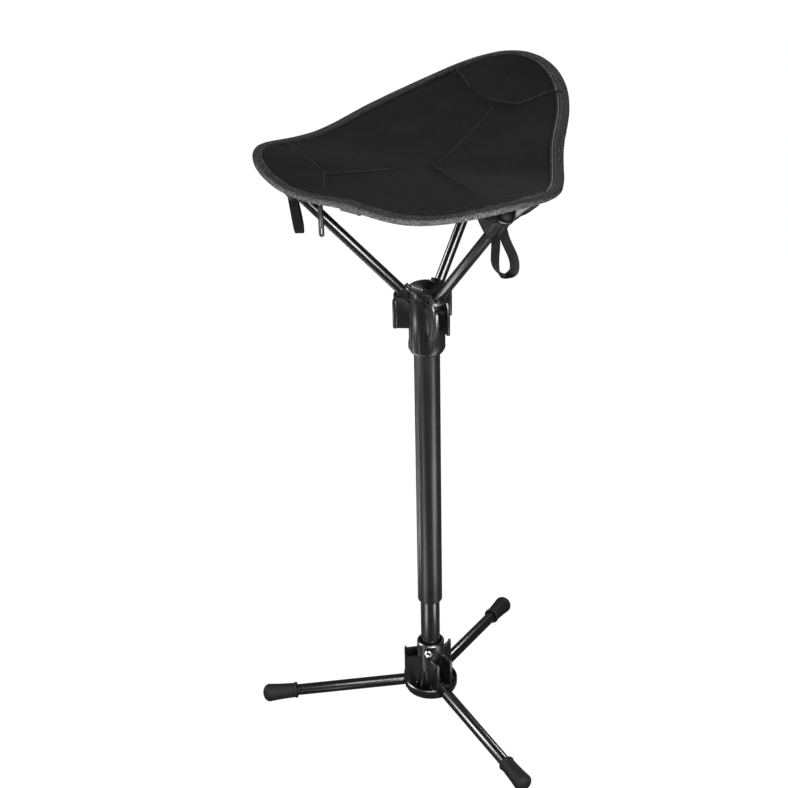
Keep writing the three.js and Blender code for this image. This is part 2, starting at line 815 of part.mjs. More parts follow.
// A section of [outward, up] points carried along the rim between two angles, or all the way round
function rimSweep(section, from, to, steps) {
  const whole = to - from >= 360;
  const stations = whole ? steps : steps + 1;
  const count = section.length;
  const positions = [];
  const indices = [];
  for (let station = 0; station < stations; station += 1) {
    const angle = from + ((to - from) * station) / steps;
    const centre = rimInset(angle, bindingWidth / 2);
    const outward = rimOutward(angle);
    for (const [out, up] of section) {
      positions.push(centre.x + outward.x * out, centre.y + outward.y * out, centre.z + up);
    }
  }
  const at = (station, index) => (station % stations) * count + (index % count);
  for (let station = 0; station < steps; station += 1) {
    for (let index = 0; index < count; index += 1) {
      const a = at(station, index);
      const b = at(station + 1, index);
      const c = at(station + 1, index + 1);
      const d = at(station, index + 1);
      indices.push(a, b, c, a, c, d);
    }
  }
  if (!whole) {
    const shape = section.map(([out, up]) => new THREE.Vector2(out, up));
    for (const [a, b, c] of THREE.ShapeUtils.triangulateShape(shape, [])) {
      indices.push(at(0, a), at(0, b), at(0, c));
      indices.push(at(steps, a), at(steps, c), at(steps, b));
    }
  }
  const geometry = new THREE.BufferGeometry();
  geometry.setAttribute('position', new THREE.Float32BufferAttribute(positions, 3));
  geometry.setIndex(indices);
  geometry.computeVertexNormals();
  return geometry;
}

function ovalSection(width, thickness, sidesCount, from = 0, to = 360) {
  const points = [];
  const last = to - from >= 360 ? sidesCount - 1 : sidesCount;
  for (let index = 0; index <= last; index += 1) {
    const angle = (from + ((to - from) * index) / sidesCount) * radians;
    const flat = (value) => Math.sign(value) * Math.sqrt(Math.abs(value));
    points.push([(flat(Math.cos(angle)) * width) / 2, (flat(Math.sin(angle)) * thickness) / 2]);
  }
  return points;
}

function bindingTab() {
  const wrap = (growth) => ovalSection(
    bindingWidth + growth, bindingThickness + growth, tabSides, tabOpeningTurn - 180, 180 - tabOpeningTurn,
  );
  const outer = wrap(2 * seatGap + 2 * tabThickness);
  const inner = wrap(2 * seatGap);
  return rimSweep([...outer, ...inner.reverse()], tabStartTurn, tabEndTurn, tabSteps);
}

// Everything from just under the sling's lower face upward, used to trim what is sewn beneath it
function aboveSeat() {
  return solidOf(slingSheet(
    trimHeight, slingThickness / 2 + seatGap, bindingWidth + seatGap, trimReachShare,
  ));
}

function bindingSpace() {
  const section = ovalSection(bindingWidth + 2 * seatGap, bindingThickness + 2 * seatGap, bindingSides);
  return solidOf(rimSweep(section, 0, 360, bindingSteps));
}

// A shape made along an arm's own axis, moved to where that arm stands
function onArm(geometry, { turn, armSlope }) {
  return alongX(geometry)
    .rotateY(-armSlope * radians)
    .translate(armPinReach, 0, armPinHeight)
    .rotateZ(turn * radians);
}

// Cup round an arm's tip, carried straight up so that its walls run into the sling
function raisedCup(side, clearance, overrun) {
  const length = side.armLength;
  const radius = tipRadius + clearance;
  const cup = solidOf(onArm(turned([
    [0, length - pocketLength - overrun],
    [pocketMouthRadius + clearance, length - pocketLength - overrun],
    [radius, length - pocketLength / 2],
    ...domePoints(radius, length - tipDome, clearance + tipDome, domeSteps),
  ], smallSteps), side));
  return wasm.Manifold.hull([cup, cup.translate(0, 0, pocketRise)]);
}

function cornerPocket(side) {
  return geometryOf(raisedCup(side, pocketGap + pocketWall, 0)
    .subtract(raisedCup(side, pocketGap, cutOverrun))
    .subtract(aboveSeat())
    .subtract(bindingSpace()));
}

// Two strands of flat webbing that meet in a round end below a pocket, open toward the outside
function pullLoop(side) {
  const { turn, armSlope, armLength, loopSlope } = side;
  const half = loopGap / 2;
  const neck = half * loopNeckShare;
  const drop = (grow) => {
    const shape = new THREE.Shape();
    const low = half - loopDrop;
    shape.moveTo(-neck - grow, grow);
    shape.lineTo(-half - grow, low);
    shape.absarc(0, low, half + grow, Math.PI, 2 * Math.PI, false);
    shape.lineTo(neck + grow, grow);
    shape.closePath();
    return shape;
  };
  const shape = drop(loopRibbonThickness);
  shape.holes.push(new THREE.Path(drop(0).getPoints(arcSteps)));
  const back = armLength - loopSetback;
  const hangReach = armPinReach + back * Math.cos(armSlope * radians);
  const hangHeight = armPinHeight + back * Math.sin(armSlope * radians);
  const loop = new THREE.ExtrudeGeometry(
    shape, { depth: loopRibbonWidth, bevelEnabled: false, curveSegments: arcSteps },
  )
    .translate(0, 0, -loopRibbonWidth / 2)
    .rotateX(90 * radians)
    .rotateZ(90 * radians)
    .rotateY(-loopSlope * radians)
    .translate(hangReach, 0, hangHeight)
    .rotateZ(turn * radians);
  const clearance = pocketGap + pocketWall + seatGap;
  return geometryOf(solidOf(loop)
    .subtract(raisedCup(side, clearance, 0))
    .subtract(raisedCup(side, clearance, loopRibbonWidth)));
}

function underSling(angle, inset, drop) {
  const edge = rimInset(angle, inset);
  const full = rimInset(angle, bindingWidth + seatGap);
  const share = edge.length() / full.length();
  const point = slingPoint(angle, Math.min(share, 1), bindingWidth + seatGap);
  return new THREE.Vector3(edge.x, edge.y, point.z - slingThickness / 2 - drop);
}

function zipTape() {
  const positions = [];
  const indices = [];
  for (let step = 0; step <= zipSteps; step += 1) {
    const angle = zipStartTurn + ((zipEndTurn - zipStartTurn) * step) / zipSteps;
    for (const [inset, drop] of [
      [bindingWidth + zipInset - zipWidth / 2, 2 * seatGap],
      [bindingWidth + zipInset + zipWidth / 2, 2 * seatGap],
      [bindingWidth + zipInset + zipWidth / 2, 2 * seatGap + zipThickness],
      [bindingWidth + zipInset - zipWidth / 2, 2 * seatGap + zipThickness],
    ]) {
      positions.push(...underSling(angle, inset, drop).toArray());
    }
  }
  const quad = (a, b, c, d) => indices.push(a, c, b, a, d, c);
  for (let step = 0; step < zipSteps; step += 1) {
    for (let index = 0; index < 4; index += 1) {
      const next = (index + 1) % 4;
      quad(step * 4 + index, step * 4 + next, step * 4 + 4 + next, step * 4 + 4 + index);
    }
  }
  quad(3, 2, 1, 0);
  const last = zipSteps * 4;
  quad(last, last + 1, last + 2, last + 3);
  const geometry = new THREE.BufferGeometry();
  geometry.setAttribute('position', new THREE.Float32BufferAttribute(positions, 3));
  geometry.setIndex(indices);
  geometry.computeVertexNormals();
  return geometry;
}

// Slider at the tape's left end, with two lugs and a bail that the puller hangs on
function zipSlider() {
  const lugGap = pullerThickness + 2 * seatGap;
  const lugLow = -bailDrop - bailRadius - sliderLug;
  const body = new THREE.BoxGeometry(sliderWidth, sliderLength, sliderThickness)
    .translate(0, 0, -sliderThickness / 2);
  let slider = solidOf(body);
  for (const side of [-1, 1]) {
    const lug = new THREE.BoxGeometry(sliderLug, 2 * (bailRadius + sliderLug), -lugLow)
      .translate(side * (lugGap / 2 + sliderLug / 2), 0, lugLow / 2);
    slider = slider.add(solidOf(lug));
  }
  const bail = alongX(disc(bailRadius, -lugGap / 2 - sliderLug, lugGap / 2 + sliderLug, pinSteps))
    .translate(0, 0, -bailDrop);
  return geometryOf(slider.add(solidOf(bail)));
}

function zipPuller() {
  const half = pullerWidth / 2;
  const eye = bailRadius + seatGap;
  const shape = new THREE.Shape();
  const head = eye + sliderLug;
  shape.moveTo(-head, 0);
  shape.lineTo(-half, -pullerShoulder);
  shape.lineTo(-half, half - pullerLength);
  shape.absarc(0, half - pullerLength, half, Math.PI, 2 * Math.PI, false);
  shape.lineTo(half, -pullerShoulder);
  shape.lineTo(head, 0);
  shape.absarc(0, 0, head, 0, Math.PI, false);
  const bore = new THREE.Path();
  bore.absarc(0, 0, eye, 0, 2 * Math.PI, true);
  const slotHalf = pullerHoleWidth / 2;
  const slotLow = half - pullerLength;
  const slot = new THREE.Path();
  slot.moveTo(-slotHalf, slotLow);
  slot.absarc(0, slotLow, slotHalf, Math.PI, 2 * Math.PI, false);
  slot.lineTo(slotHalf, slotLow + pullerHoleLength - 2 * slotHalf);
  slot.absarc(0, slotLow + pullerHoleLength - 2 * slotHalf, slotHalf, 0, Math.PI, false);
  shape.holes.push(bore, slot);
  return new THREE.ExtrudeGeometry(
    shape, { depth: pullerThickness, bevelEnabled: false, curveSegments: arcSteps },
  )
    .translate(0, 0, -pullerThickness / 2)
    .rotateX(90 * radians)
    .rotateZ(90 * radians);
}

function zipParts() {
  const place = underSling(sliderTurn, bindingWidth + zipInset, 3 * seatGap + zipThickness);
  const outward = rimOutward(sliderTurn);
  const turn = Math.atan2(outward.y, outward.x);
  const slider = mesh('zip_slider', zipSlider(), finishes.darkSteel);
  const puller = mesh('zip_puller', zipPuller(), finishes.darkSteel);
  const slope = underSling(sliderTurn, bindingWidth + zipInset + sliderWidth / 2, 0).z
    - underSling(sliderTurn, bindingWidth + zipInset - sliderWidth / 2, 0).z;
  slider.position.z = -Math.abs(slope) / 2;
  puller.position.z = slider.position.z - bailDrop;
  const placed = group(slider, puller);
  placed.position.copy(place);
  placed.rotation.z = turn;
  return placed;
}

function seatParts() {
  const parts = [
    mesh('seat_sling', slingSheet(
      slingThickness / 2, slingThickness / 2, bindingWidth + seatGap,
    ), finishes.fabric),
    mesh('rim_binding', rimSweep(
      ovalSection(bindingWidth, bindingThickness, bindingSides), 0, 360, bindingSteps,
    ), finishes.binding),
    mesh('binding_tab', bindingTab(), finishes.webbing),
    mesh('zip_tape', zipTape(), finishes.webbing),
    zipParts(),
  ];
  for (const side of sides) {
    parts.push(mesh(`corner_pocket_${side.name}`, cornerPocket(side), finishes.fabric));
    parts.push(mesh(`pull_loop_${side.name}`, pullLoop(side), finishes.webbing));
  }
  return group(...parts);
}

// Assembly

const base = group(
  mesh('base_hub', baseHub(), finishes.plastic),
  mesh('inner_tube', innerTube(), finishes.innerAnodised),
  mesh('lock_plug', lockPlug(), finishes.nylon),
);
const eyelet = mesh('base_rivet', rivet(), finishes.steel);
eyelet.position.z = rivetHeight;
eyelet.rotation.z = rivetTurn * radians;
base.add(eyelet);

const mast = group(
  mesh('lock_sleeve', lockSleeve(), finishes.nylon),
  mesh('outer_tube', outerTube(), finishes.anodised),
  mesh('lower_bush', lowerBush(), finishes.nylon),
  mesh('upper_hub', upperHub(), finishes.plastic),
  mesh('hub_cap', hubCap(), finishes.plastic),
  mesh('hub_screw', hubScrew(), finishes.darkSteel),
  seatParts(),
);

for (const side of sides) {
  const leg = legParts(side.name);
  const arm = armParts(side);
  leg.rotation.z = side.turn * radians;
  arm.rotation.z = side.turn * radians;
  base.add(leg);
  mast.add(arm);
}
mast.rotation.z = mastTurn * radians;

const stool = group(base, mast);

export default stool;
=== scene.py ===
import json
from math import atan2, copysign, cos, degrees, hypot, pi, radians, sin

import bmesh
import bpy
import numpy as np
from mathutils import Matrix, Vector, noise

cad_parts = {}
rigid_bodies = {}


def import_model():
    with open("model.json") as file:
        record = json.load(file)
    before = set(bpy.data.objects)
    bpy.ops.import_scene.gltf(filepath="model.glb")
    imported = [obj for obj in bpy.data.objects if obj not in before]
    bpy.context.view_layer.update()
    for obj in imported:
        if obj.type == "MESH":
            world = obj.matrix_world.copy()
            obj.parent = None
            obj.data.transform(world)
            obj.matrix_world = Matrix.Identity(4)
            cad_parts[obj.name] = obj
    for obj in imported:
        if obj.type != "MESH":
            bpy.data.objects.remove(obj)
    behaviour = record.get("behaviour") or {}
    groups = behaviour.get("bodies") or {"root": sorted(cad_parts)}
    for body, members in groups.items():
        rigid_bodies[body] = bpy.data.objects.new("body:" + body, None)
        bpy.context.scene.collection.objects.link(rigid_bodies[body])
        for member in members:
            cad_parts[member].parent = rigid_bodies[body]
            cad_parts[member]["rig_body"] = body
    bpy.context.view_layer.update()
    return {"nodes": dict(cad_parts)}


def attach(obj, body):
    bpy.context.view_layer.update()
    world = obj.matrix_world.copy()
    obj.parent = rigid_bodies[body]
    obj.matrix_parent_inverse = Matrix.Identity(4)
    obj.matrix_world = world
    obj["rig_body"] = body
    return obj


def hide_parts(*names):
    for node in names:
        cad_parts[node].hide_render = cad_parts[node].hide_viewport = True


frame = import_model()
nodes = frame["nodes"]
mm = 0.001
sides = ("left", "rear", "front")
print("frame loaded:", len(nodes), "nodes")


def turned(angle, axis="Z"):
    return Matrix.Rotation(radians(angle), 4, axis)


def linked(name, data):
    piece = bpy.data.objects.new(name, data)
    bpy.context.scene.collection.objects.link(piece)
    return piece


cameraView = {
    "distance": 1.72187, "height": 1.38086,  # metres from the mast's axis and from the floor
    "turn": -1.21,  # degrees round the stool
    "pan": -1.2834, "tilt": 28.6536, "roll": -1.3407,
    "lens": 77.76, "sensor": 36,
}


def makeCamera(view):
    pan, tilt, roll = (radians(view[key]) for key in ("pan", "tilt", "roll"))
    forward = Vector((sin(pan) * cos(tilt), cos(pan) * cos(tilt), -sin(tilt)))
    level = Vector((cos(pan), -sin(pan), 0))
    upright = level.cross(forward)
    right = level * cos(roll) + upright * sin(roll)
    up = upright * cos(roll) - level * sin(roll)
    place = Matrix((right, up, -forward)).transposed().to_4x4()
    place.translation = (0, -view["distance"], view["height"])
    camera = linked("camera", bpy.data.cameras.new("camera"))
    camera.data.lens = view["lens"]
    camera.data.sensor_width = view["sensor"]
    camera.matrix_world = turned(view["turn"]) @ place
    bpy.context.scene.camera = camera


makeCamera(cameraView)
bpy.context.scene.view_settings.view_transform = "Standard"
print("camera placed")


def linearColour(hexColour):
    channels = [int(hexColour[place:place + 2], 16) / 255 for place in (1, 3, 5)]
    return tuple(c / 12.92 if c <= 0.04045 else ((c + 0.055) / 1.055) ** 2.4 for c in channels) + (1,)


white = linearColour("#ffffff")


def addNode(tree, kind, settings=None, links=None):
    node = tree.nodes.new(kind)
    for key, value in (settings or {}).items():
        if isinstance(key, int) or key in node.inputs:
            node.inputs[key].default_value = value
        else:
            setattr(node, key, value)
    for key, source in (links or {}).items():
        tree.links.new(source, node.inputs[key])
    return node


def emptyTree(owner):
    owner.use_nodes = True
    owner.node_tree.nodes.clear()
    return owner.node_tree


studio = {
    "ambient": 0.08,  # world light on the object
    "backdrop": 1.0,  # what the camera sees behind it
    "mirrored": 0.07,  # what gloss shows of the backdrop
    "floorSize": 24, "floorDepth": -0.0005, "floorTone": "#f4f4f4",
    "floorShare": 0.95,  # how much of the floor is plain white to the camera
    "floorGlow": 1.08,
    "floorMirrored": 0.12,  # what gloss shows of the floor
    "lamps": {  # soft light for the matte pieces: (turn, rise, away, width, height, watts)
        "overhead": (168, 62, 2.1, 1.4, 1.4, 8.5),
        "front": (-98, -8, 1.7, 0.8, 0.4, 33),
    },
    "glints": {  # sheets that only gloss shows, one for each tube's bright line
        "armGlint": (-64, 27, 2, 0.9, 1.9, 190),
        "leftLegGlint": (-103, 43, 1.8, 0.4, 0.4, 20),
        "frontLegGlint": (174, 16, 1.8, 0.6, 0.9, 62),
        "rearLegGlint": (56, 32, 1.8, 0.45, 0.3, 22),
    },
    "aim": (0, 0, 0.6),
    "pools": {  # bright strips low on the floor, for the same use: (turn, near, far, width, watts)
        "rightPool": (-33.5, 0.27, 1.0, 0.22, 2.6),
        "rightNearPool": (-35, 0.145, 0.27, 0.07, 0.16),
        "leftPool": (-141, 0.12, 0.85, 0.09, 0.7),
        "edgePool": (154, 0.23, 1.0, 0.13, 1.8),
        "hubPool": (-166, 1.0, 1.4, 0.16, 6),
    },
    "poolHeight": 0.004,
}


def addLamp(name, place, width, height, watts, seenBy):
    lamp = bpy.data.lights.new(name, "AREA")
    lamp.shape = "RECTANGLE"
    lamp.size, lamp.size_y, lamp.energy = width, height, watts
    holder = linked(name, lamp)
    holder.matrix_world = place
    holder.visible_camera = False
    holder.visible_diffuse, holder.visible_glossy = seenBy == "matte", seenBy == "gloss"


def makeWorld(setup):
    world = bpy.data.worlds.new("studio")
    bpy.context.scene.world = world
    tree = emptyTree(world)
    rays = addNode(tree, "ShaderNodeLightPath")
    glossy = addNode(tree, "ShaderNodeMath", {"operation": "MULTIPLY", 1: setup["mirrored"]},
                     {0: rays.outputs["Is Glossy Ray"]})
    seen = addNode(tree, "ShaderNodeMath", {"operation": "MAXIMUM"},
                   {0: rays.outputs["Is Camera Ray"], 1: glossy.outputs[0]})
    clear = addNode(tree, "ShaderNodeMath", {"operation": "MAXIMUM"},
                    {0: seen.outputs[0], 1: rays.outputs["Is Transmission Ray"]})
    strength = addNode(tree, "ShaderNodeMapRange", {"To Min": setup["ambient"], "To Max": setup["backdrop"]},
                       {"Value": clear.outputs[0]})
    light = addNode(tree, "ShaderNodeBackground", {"Color": white}, {"Strength": strength.outputs[0]})
    addNode(tree, "ShaderNodeOutputWorld", None, {"Surface": light.outputs[0]})


def makeFloor(setup):
    half = setup["floorSize"] / 2
    mesh = bpy.data.meshes.new("floor")
    corners = ((-half, -half), (half, -half), (half, half), (-half, half))
    mesh.from_pydata([(x, y, setup["floorDepth"]) for x, y in corners], [], [(0, 1, 2, 3)])
    paper = bpy.data.materials.new("whitePaperFloor")
    tree = emptyTree(paper)
    rays = addNode(tree, "ShaderNodeLightPath")
    seen = addNode(tree, "ShaderNodeMath", {"operation": "MULTIPLY", 1: setup["floorShare"]},
                   {0: rays.outputs["Is Camera Ray"]})
    glow = addNode(tree, "ShaderNodeEmission", {"Color": white, "Strength": setup["floorGlow"]})
    matte = addNode(tree, "ShaderNodeBsdfDiffuse", {"Color": linearColour(setup["floorTone"])})
    dim = addNode(tree, "ShaderNodeEmission", {"Color": white, "Strength": setup["floorMirrored"]})
    shown = addNode(tree, "ShaderNodeMixShader", None,
                    {0: rays.outputs["Is Glossy Ray"], 1: matte.outputs[0], 2: dim.outputs[0]})
    mixed = addNode(tree, "ShaderNodeMixShader", None,
                    {0: seen.outputs[0], 1: shown.outputs[0], 2: glow.outputs[0]})
    addNode(tree, "ShaderNodeOutputMaterial", None, {"Surface": mixed.outputs[0]})
    mesh.materials.append(paper)
    linked("floor", mesh)


def makeLamps(setup):
    for group, seenBy in (("lamps", "matte"), ("glints", "gloss")):
        for name, (turn, rise, away, width, height, watts) in setup[group].items():
            place = Matrix.Rotation(radians(turn), 3, "Z") @ Matrix.Rotation(radians(-rise), 3, "Y")
            offset = place @ Vector((away, 0, 0))
            facing = (-offset).to_track_quat("-Z", "Y").to_matrix().to_4x4()
            spot = Matrix.Translation(Vector(setup["aim"]) + offset)
            addLamp(name, spot @ facing, width, height, watts, seenBy)
    for name, (turn, near, far, width, watts) in setup["pools"].items():
        middle = Matrix.Translation(((near + far) / 2, 0, setup["poolHeight"]))
        lying = turned(turn) @ middle @ turned(180, "X")
        addLamp(name, lying, far - near, width, watts, "gloss")


makeWorld(studio)
makeFloor(studio)
makeLamps(studio)
print("studio lit")

# Materials, with pattern sizes in millimetres


def waveScale(period):
    return pi / 10 / (period * mm)  # a wave texture's bands repeat every pi/10 at scale 1


def patternHeight(tree, spec):
    place = addNode(tree, "ShaderNodeTexCoord").outputs[spec.get("space", "Object")]
    kind, size = spec["pattern"], spec["size"]
    if kind == "grain":
        return addNode(tree, "ShaderNodeTexNoise", {"Scale": 1 / (size * mm), "Detail": 4, "Roughness": 0.6},
                       {"Vector": place}).outputs["Fac"]
    if kind == "drawn":
        long = addNode(tree, "ShaderNodeMapping", {"Scale": (1, 1, spec["stretch"])}, {"Vector": place})
        return addNode(tree, "ShaderNodeTexNoise", {"Scale": 1 / (size * mm), "Detail": 3},
                       {"Vector": long.outputs[0]}).outputs["Fac"]
    wave = {"wave_type": "BANDS", "Scale": waveScale(size), "Distortion": spec.get("wander", 0.6),
            "Detail": 1, "Detail Scale": 2}
    bands = [addNode(tree, "ShaderNodeTexWave", {**wave, "bands_direction": direction},
                     {"Vector": place}).outputs["Fac"] for direction in spec["threads"]]
    if len(bands) == 1:
        return bands[0]
    return addNode(tree, "ShaderNodeMath", {"operation": "MULTIPLY"}, dict(enumerate(bands))).outputs[0]


def makeMaterial(name, spec):
    material = bpy.data.materials.new(name)
    tree = emptyTree(material)
    height = patternHeight(tree, spec)
    place = addNode(tree, "ShaderNodeTexCoord").outputs["Object"]
    cloud = addNode(tree, "ShaderNodeTexNoise", {"Scale": 1 / (spec["cloud"] * mm), "Detail": 3},
                    {"Vector": place})
    tone = addNode(tree, "ShaderNodeMath", {"operation": "MULTIPLY_ADD", 1: spec["patternTone"]},
                   {0: height, 2: cloud.outputs["Fac"]})
    low, high = spec.get("contrast", (0.3, 0.75 + spec["patternTone"]))
    ramp = addNode(tree, "ShaderNodeMapRange", {"From Min": low, "From Max": high},
                   {"Value": tone.outputs[0]})
    ends = {6: linearColour(spec["dark"]), 7: linearColour(spec["light"])}
    colour = addNode(tree, "ShaderNodeMix", {"data_type": "RGBA", **ends}, {0: ramp.outputs[0]})
    rough = addNode(tree, "ShaderNodeMapRange", {"To Min": spec["rough"][0], "To Max": spec["rough"][1]},
                    {"Value": cloud.outputs["Fac"]})
    bump = addNode(tree, "ShaderNodeBump", {"Strength": spec["relief"], "Distance": spec["depth"] * mm},
                   {"Height": height})
    links = {"Base Color": colour.outputs[2], "Roughness": rough.outputs[0], "Normal": bump.outputs[0]}
    sockets = {"IOR": spec["ior"], "Specular IOR Level": spec["specular"], "Metallic": spec["metallic"]}
    surface = addNode(tree, "ShaderNodeBsdfPrincipled", sockets, links)
    addNode(tree, "ShaderNodeOutputMaterial", None, {"Surface": surface.outputs[0]})
    return material


plainFinish = {"pattern": "grain", "patternTone": 0.2, "ior": 1.5, "specular": 0.5, "metallic": 0}
finishes = {
    # Glass-filled nylon, injection moulded: satin black with a fine spark grain
    "mouldedNylon": {"size": 1.1, "cloud": 22, "patternTone": 0.25, "dark": "#0b0b0c", "light": "#131314",
                     "rough": (0.26, 0.34), "relief": 0.25, "depth": 0.12, "ior": 1.53},
    # Anodised aluminium, drawn and blasted: an even grey sheen with faint lines along the tube
    "anodisedMast": {"pattern": "drawn", "size": 1.4, "stretch": 0.03, "cloud": 40, "dark": "#393939",
                     "light": "#444444", "rough": (0.3, 0.36), "relief": 0.12, "depth": 0.05,
                     "metallic": 0.85},
    # The sliding tube is anodised without blasting, so its highlights are tighter
    "anodisedInner": {"pattern": "drawn", "size": 1.0, "stretch": 0.02, "cloud": 30, "dark": "#4b4b4c",
                      "light": "#595959", "rough": (0.2, 0.26), "relief": 0.1, "depth": 0.04,
                      "metallic": 0.95},
    # Gloss powder coat: deep black with one crisp highlight
    "glossBlackTube": {"size": 2.4, "cloud": 30, "patternTone": 0.1, "dark": "#0b0b0c", "light": "#101011",
                       "rough": (0.23, 0.27), "relief": 0, "depth": 0.04},
    # Thermoplastic rubber, moulded: matte charcoal
    "footRubber": {"size": 0.9, "cloud": 14, "patternTone": 0.3, "dark": "#141415", "light": "#1e1e1f",
                   "rough": (0.6, 0.74), "relief": 0.4, "depth": 0.15, "specular": 0.12},
    # Nickel-plated steel, pressed: bright eyelet
    "platedSteel": {"size": 1.2, "cloud": 9, "dark": "#c4c5c7", "light": "#e0e1e2", "rough": (0.18, 0.28),
                    "relief": 0.08, "depth": 0.03, "metallic": 1.0},
    # Blackened zinc, die cast and plated: slider, puller, pins and screw
    "blackZinc": {"size": 0.8, "cloud": 7, "dark": "#3c3d40", "light": "#5a5b5e", "rough": (0.26, 0.36),
                  "relief": 0.1, "depth": 0.04, "metallic": 1.0},
    # Unfilled nylon, turned: the hidden guides
    "naturalNylon": {"size": 1.0, "cloud": 10, "dark": "#85878a", "light": "#989a9d", "rough": (0.5, 0.6),
                     "relief": 0.1, "depth": 0.05, "ior": 1.53},
    # Oxford polyester, plain woven: near black, dull; the threads are drawn three times coarser
    "oxfordCloth": {"pattern": "weave", "threads": "XY", "size": 1.7, "cloud": 26, "patternTone": 0.35,
                    "dark": "#222223", "light": "#333334", "rough": (0.76, 0.88), "relief": 0.35,
                    "depth": 0.22, "ior": 1.4, "specular": 0.08},
    # Coated back of the same cloth: plain and a little shinier
    "coatedBack": {"pattern": "weave", "threads": "XY", "size": 1.7, "cloud": 30, "dark": "#0d0d0e",
                   "light": "#161617", "rough": (0.36, 0.44), "relief": 0.15, "depth": 0.15,
                   "specular": 0.25},
    # Brushed knit edge tape: lighter grey, mottled by its nap
    "edgeTape": {"pattern": "weave", "space": "UV", "threads": "XY", "size": 1.5, "wander": 2.2,
                 "cloud": 1.9, "patternTone": 0.5, "contrast": (0.48, 0.82), "dark": "#2e2e2f",
                 "light": "#858586", "rough": (0.8, 0.92), "relief": 0.7, "depth": 0.4, "ior": 1.45,
                 "specular": 0.08},
    # Polypropylene webbing: ribs across the strap, slightly shiny
    "wovenWebbing": {"pattern": "weave", "space": "UV", "threads": "X", "size": 1.6, "wander": 0.3,
                     "cloud": 9, "patternTone": 0.4, "dark": "#0c0c0d", "light": "#161617",
                     "rough": (0.5, 0.62), "relief": 0.6, "depth": 0.3, "ior": 1.49, "specular": 0.12},
    # Bonded polyester thread
    "blackThread": {"size": 0.5, "cloud": 4, "dark": "#101011", "light": "#1c1c1d", "rough": (0.55, 0.65),
                    "relief": 0.1, "depth": 0.03},
}
materials = {name: makeMaterial(name, {**plainFinish, **spec}) for name, spec in finishes.items()}
print("materials made:", len(materials))

# Shared makers


def addObject(name, mesh, material, body, replaced=()):
    mesh.materials.clear()
    mesh.materials.append(materials[material])
    piece = linked(name, mesh)
    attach(piece, body)
    if replaced:
        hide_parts(*replaced)
    return piece


def smoothByAngle(mesh, angle=35):
    mesh.shade_smooth()
    mesh.set_sharp_from_angle(angle=radians(angle))


def meshFrom(name, points, faces):
    mesh = bpy.data.meshes.new(name)
    mesh.from_pydata([tuple(point) for point in points], [], faces)
    mesh.update()
    return mesh


weld = 0.002  # points closer than this, in millimetres, are one


def tidied(mesh):
    shape = bmesh.new()
    shape.from_mesh(mesh)
    bmesh.ops.remove_doubles(shape, verts=shape.verts, dist=weld * mm)
    bmesh.ops.recalc_face_normals(shape, faces=shape.faces)
    shape.to_mesh(mesh)
    shape.free()
    return mesh


# Quads between rings that have as many points each
def ringFaces(rings, count, closed=False, openSection=False, base=0):
    faces = []
    for ring in range(rings if closed else rings - 1):
        a, b = base + ring * count, base + (ring + 1) % rings * count
        for index in range(count - 1 if openSection else count):
            ahead = (index + 1) % count
            faces.append((a + index, b + index, b + ahead, a + ahead))
    return faces


def endFaces(rings, count, base=0):
    last = base + rings * count
    return [tuple(range(base, base + count)), tuple(range(last - 1, last - count - 1, -1))]


def giveUv(mesh, coords=()):
    layer = mesh.uv_layers.new(name="along")
    for loop, (u, v) in zip(layer.data, coords):
        loop.uv = (u * mm, v * mm)


def baked(name, mesh, modifiers):
    holder = linked(name + "Maker", mesh)
    for kind, settings in modifiers:
        modifier = holder.modifiers.new(kind.lower(), kind)
        for key, value in settings.items():
            if key.startswith("Socket"):
                modifier[key] = value
            else:
                setattr(modifier, key, value)
    shown = holder.evaluated_get(bpy.context.evaluated_depsgraph_get())
    made = bpy.data.meshes.new_from_object(shown)
    made.name = name
    bpy.data.objects.remove(holder)
    return made


def lathe(name, profile, steps, place):
    points = []
    for step in range(steps):
        angle = 2 * pi * step / steps
        points += [(radius * cos(angle), radius * sin(angle), height) for radius, height in profile]
    mesh = tidied(meshFrom(name, points, ringFaces(steps, len(profile), closed=True, openSection=True)))
    mesh.transform(place)
    smoothByAngle(mesh)
    return mesh


# Rigid CAD nodes with their facets smoothed and their edges eased: (node, material, width of the easing)

easing = {"segments": 2, "angle": 32, "flat": 1.5, "weld": 0.004}
easedNodes = [
    ("base_hub", "mouldedNylon", 0.5), ("upper_hub", "mouldedNylon", 0.5), ("hub_cap", "mouldedNylon", 0.4),
    ("hub_screw", "blackZinc", 0.15), ("base_rivet", "platedSteel", 0.15), ("zip_slider", "blackZinc", 0.3),
    ("zip_puller", "blackZinc", 0.3), ("lock_plug", "naturalNylon", 0), ("lock_sleeve", "naturalNylon", 0),
    ("lower_bush", "naturalNylon", 0),
]
for stem, material, width in (("leg_knuckle_", "mouldedNylon", 0.5), ("arm_knuckle_", "mouldedNylon", 0.5),
                              ("arm_tip_", "footRubber", 0.2), ("leg_pin_", "blackZinc", 0),
                              ("arm_pin_", "blackZinc", 0)):
    easedNodes += [(stem + side, material, width) for side in sides]


def easedCopy(node, material, width):
    mesh = nodes[node].data.copy()
    mesh.name = node + "Eased"
    shape = bmesh.new()
    shape.from_mesh(mesh)
    bmesh.ops.remove_doubles(shape, verts=shape.verts, dist=easing["weld"] * mm)
    bmesh.ops.dissolve_limit(shape, angle_limit=radians(easing["flat"]), verts=shape.verts,
                             edges=shape.edges)
    shape.to_mesh(mesh)
    shape.free()
    if width:
        bevel = {"width": width * mm, "segments": easing["segments"], "limit_method": "ANGLE",
                 "angle_limit": radians(easing["angle"]), "use_clamp_overlap": True,
                 "miter_outer": "MITER_ARC"}
        mesh = baked(node + "Eased", mesh, [("BEVEL", bevel)])
    smoothByAngle(mesh, easing["angle"])
    addObject(node + "Eased", mesh, material, nodes[node]["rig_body"], [node])


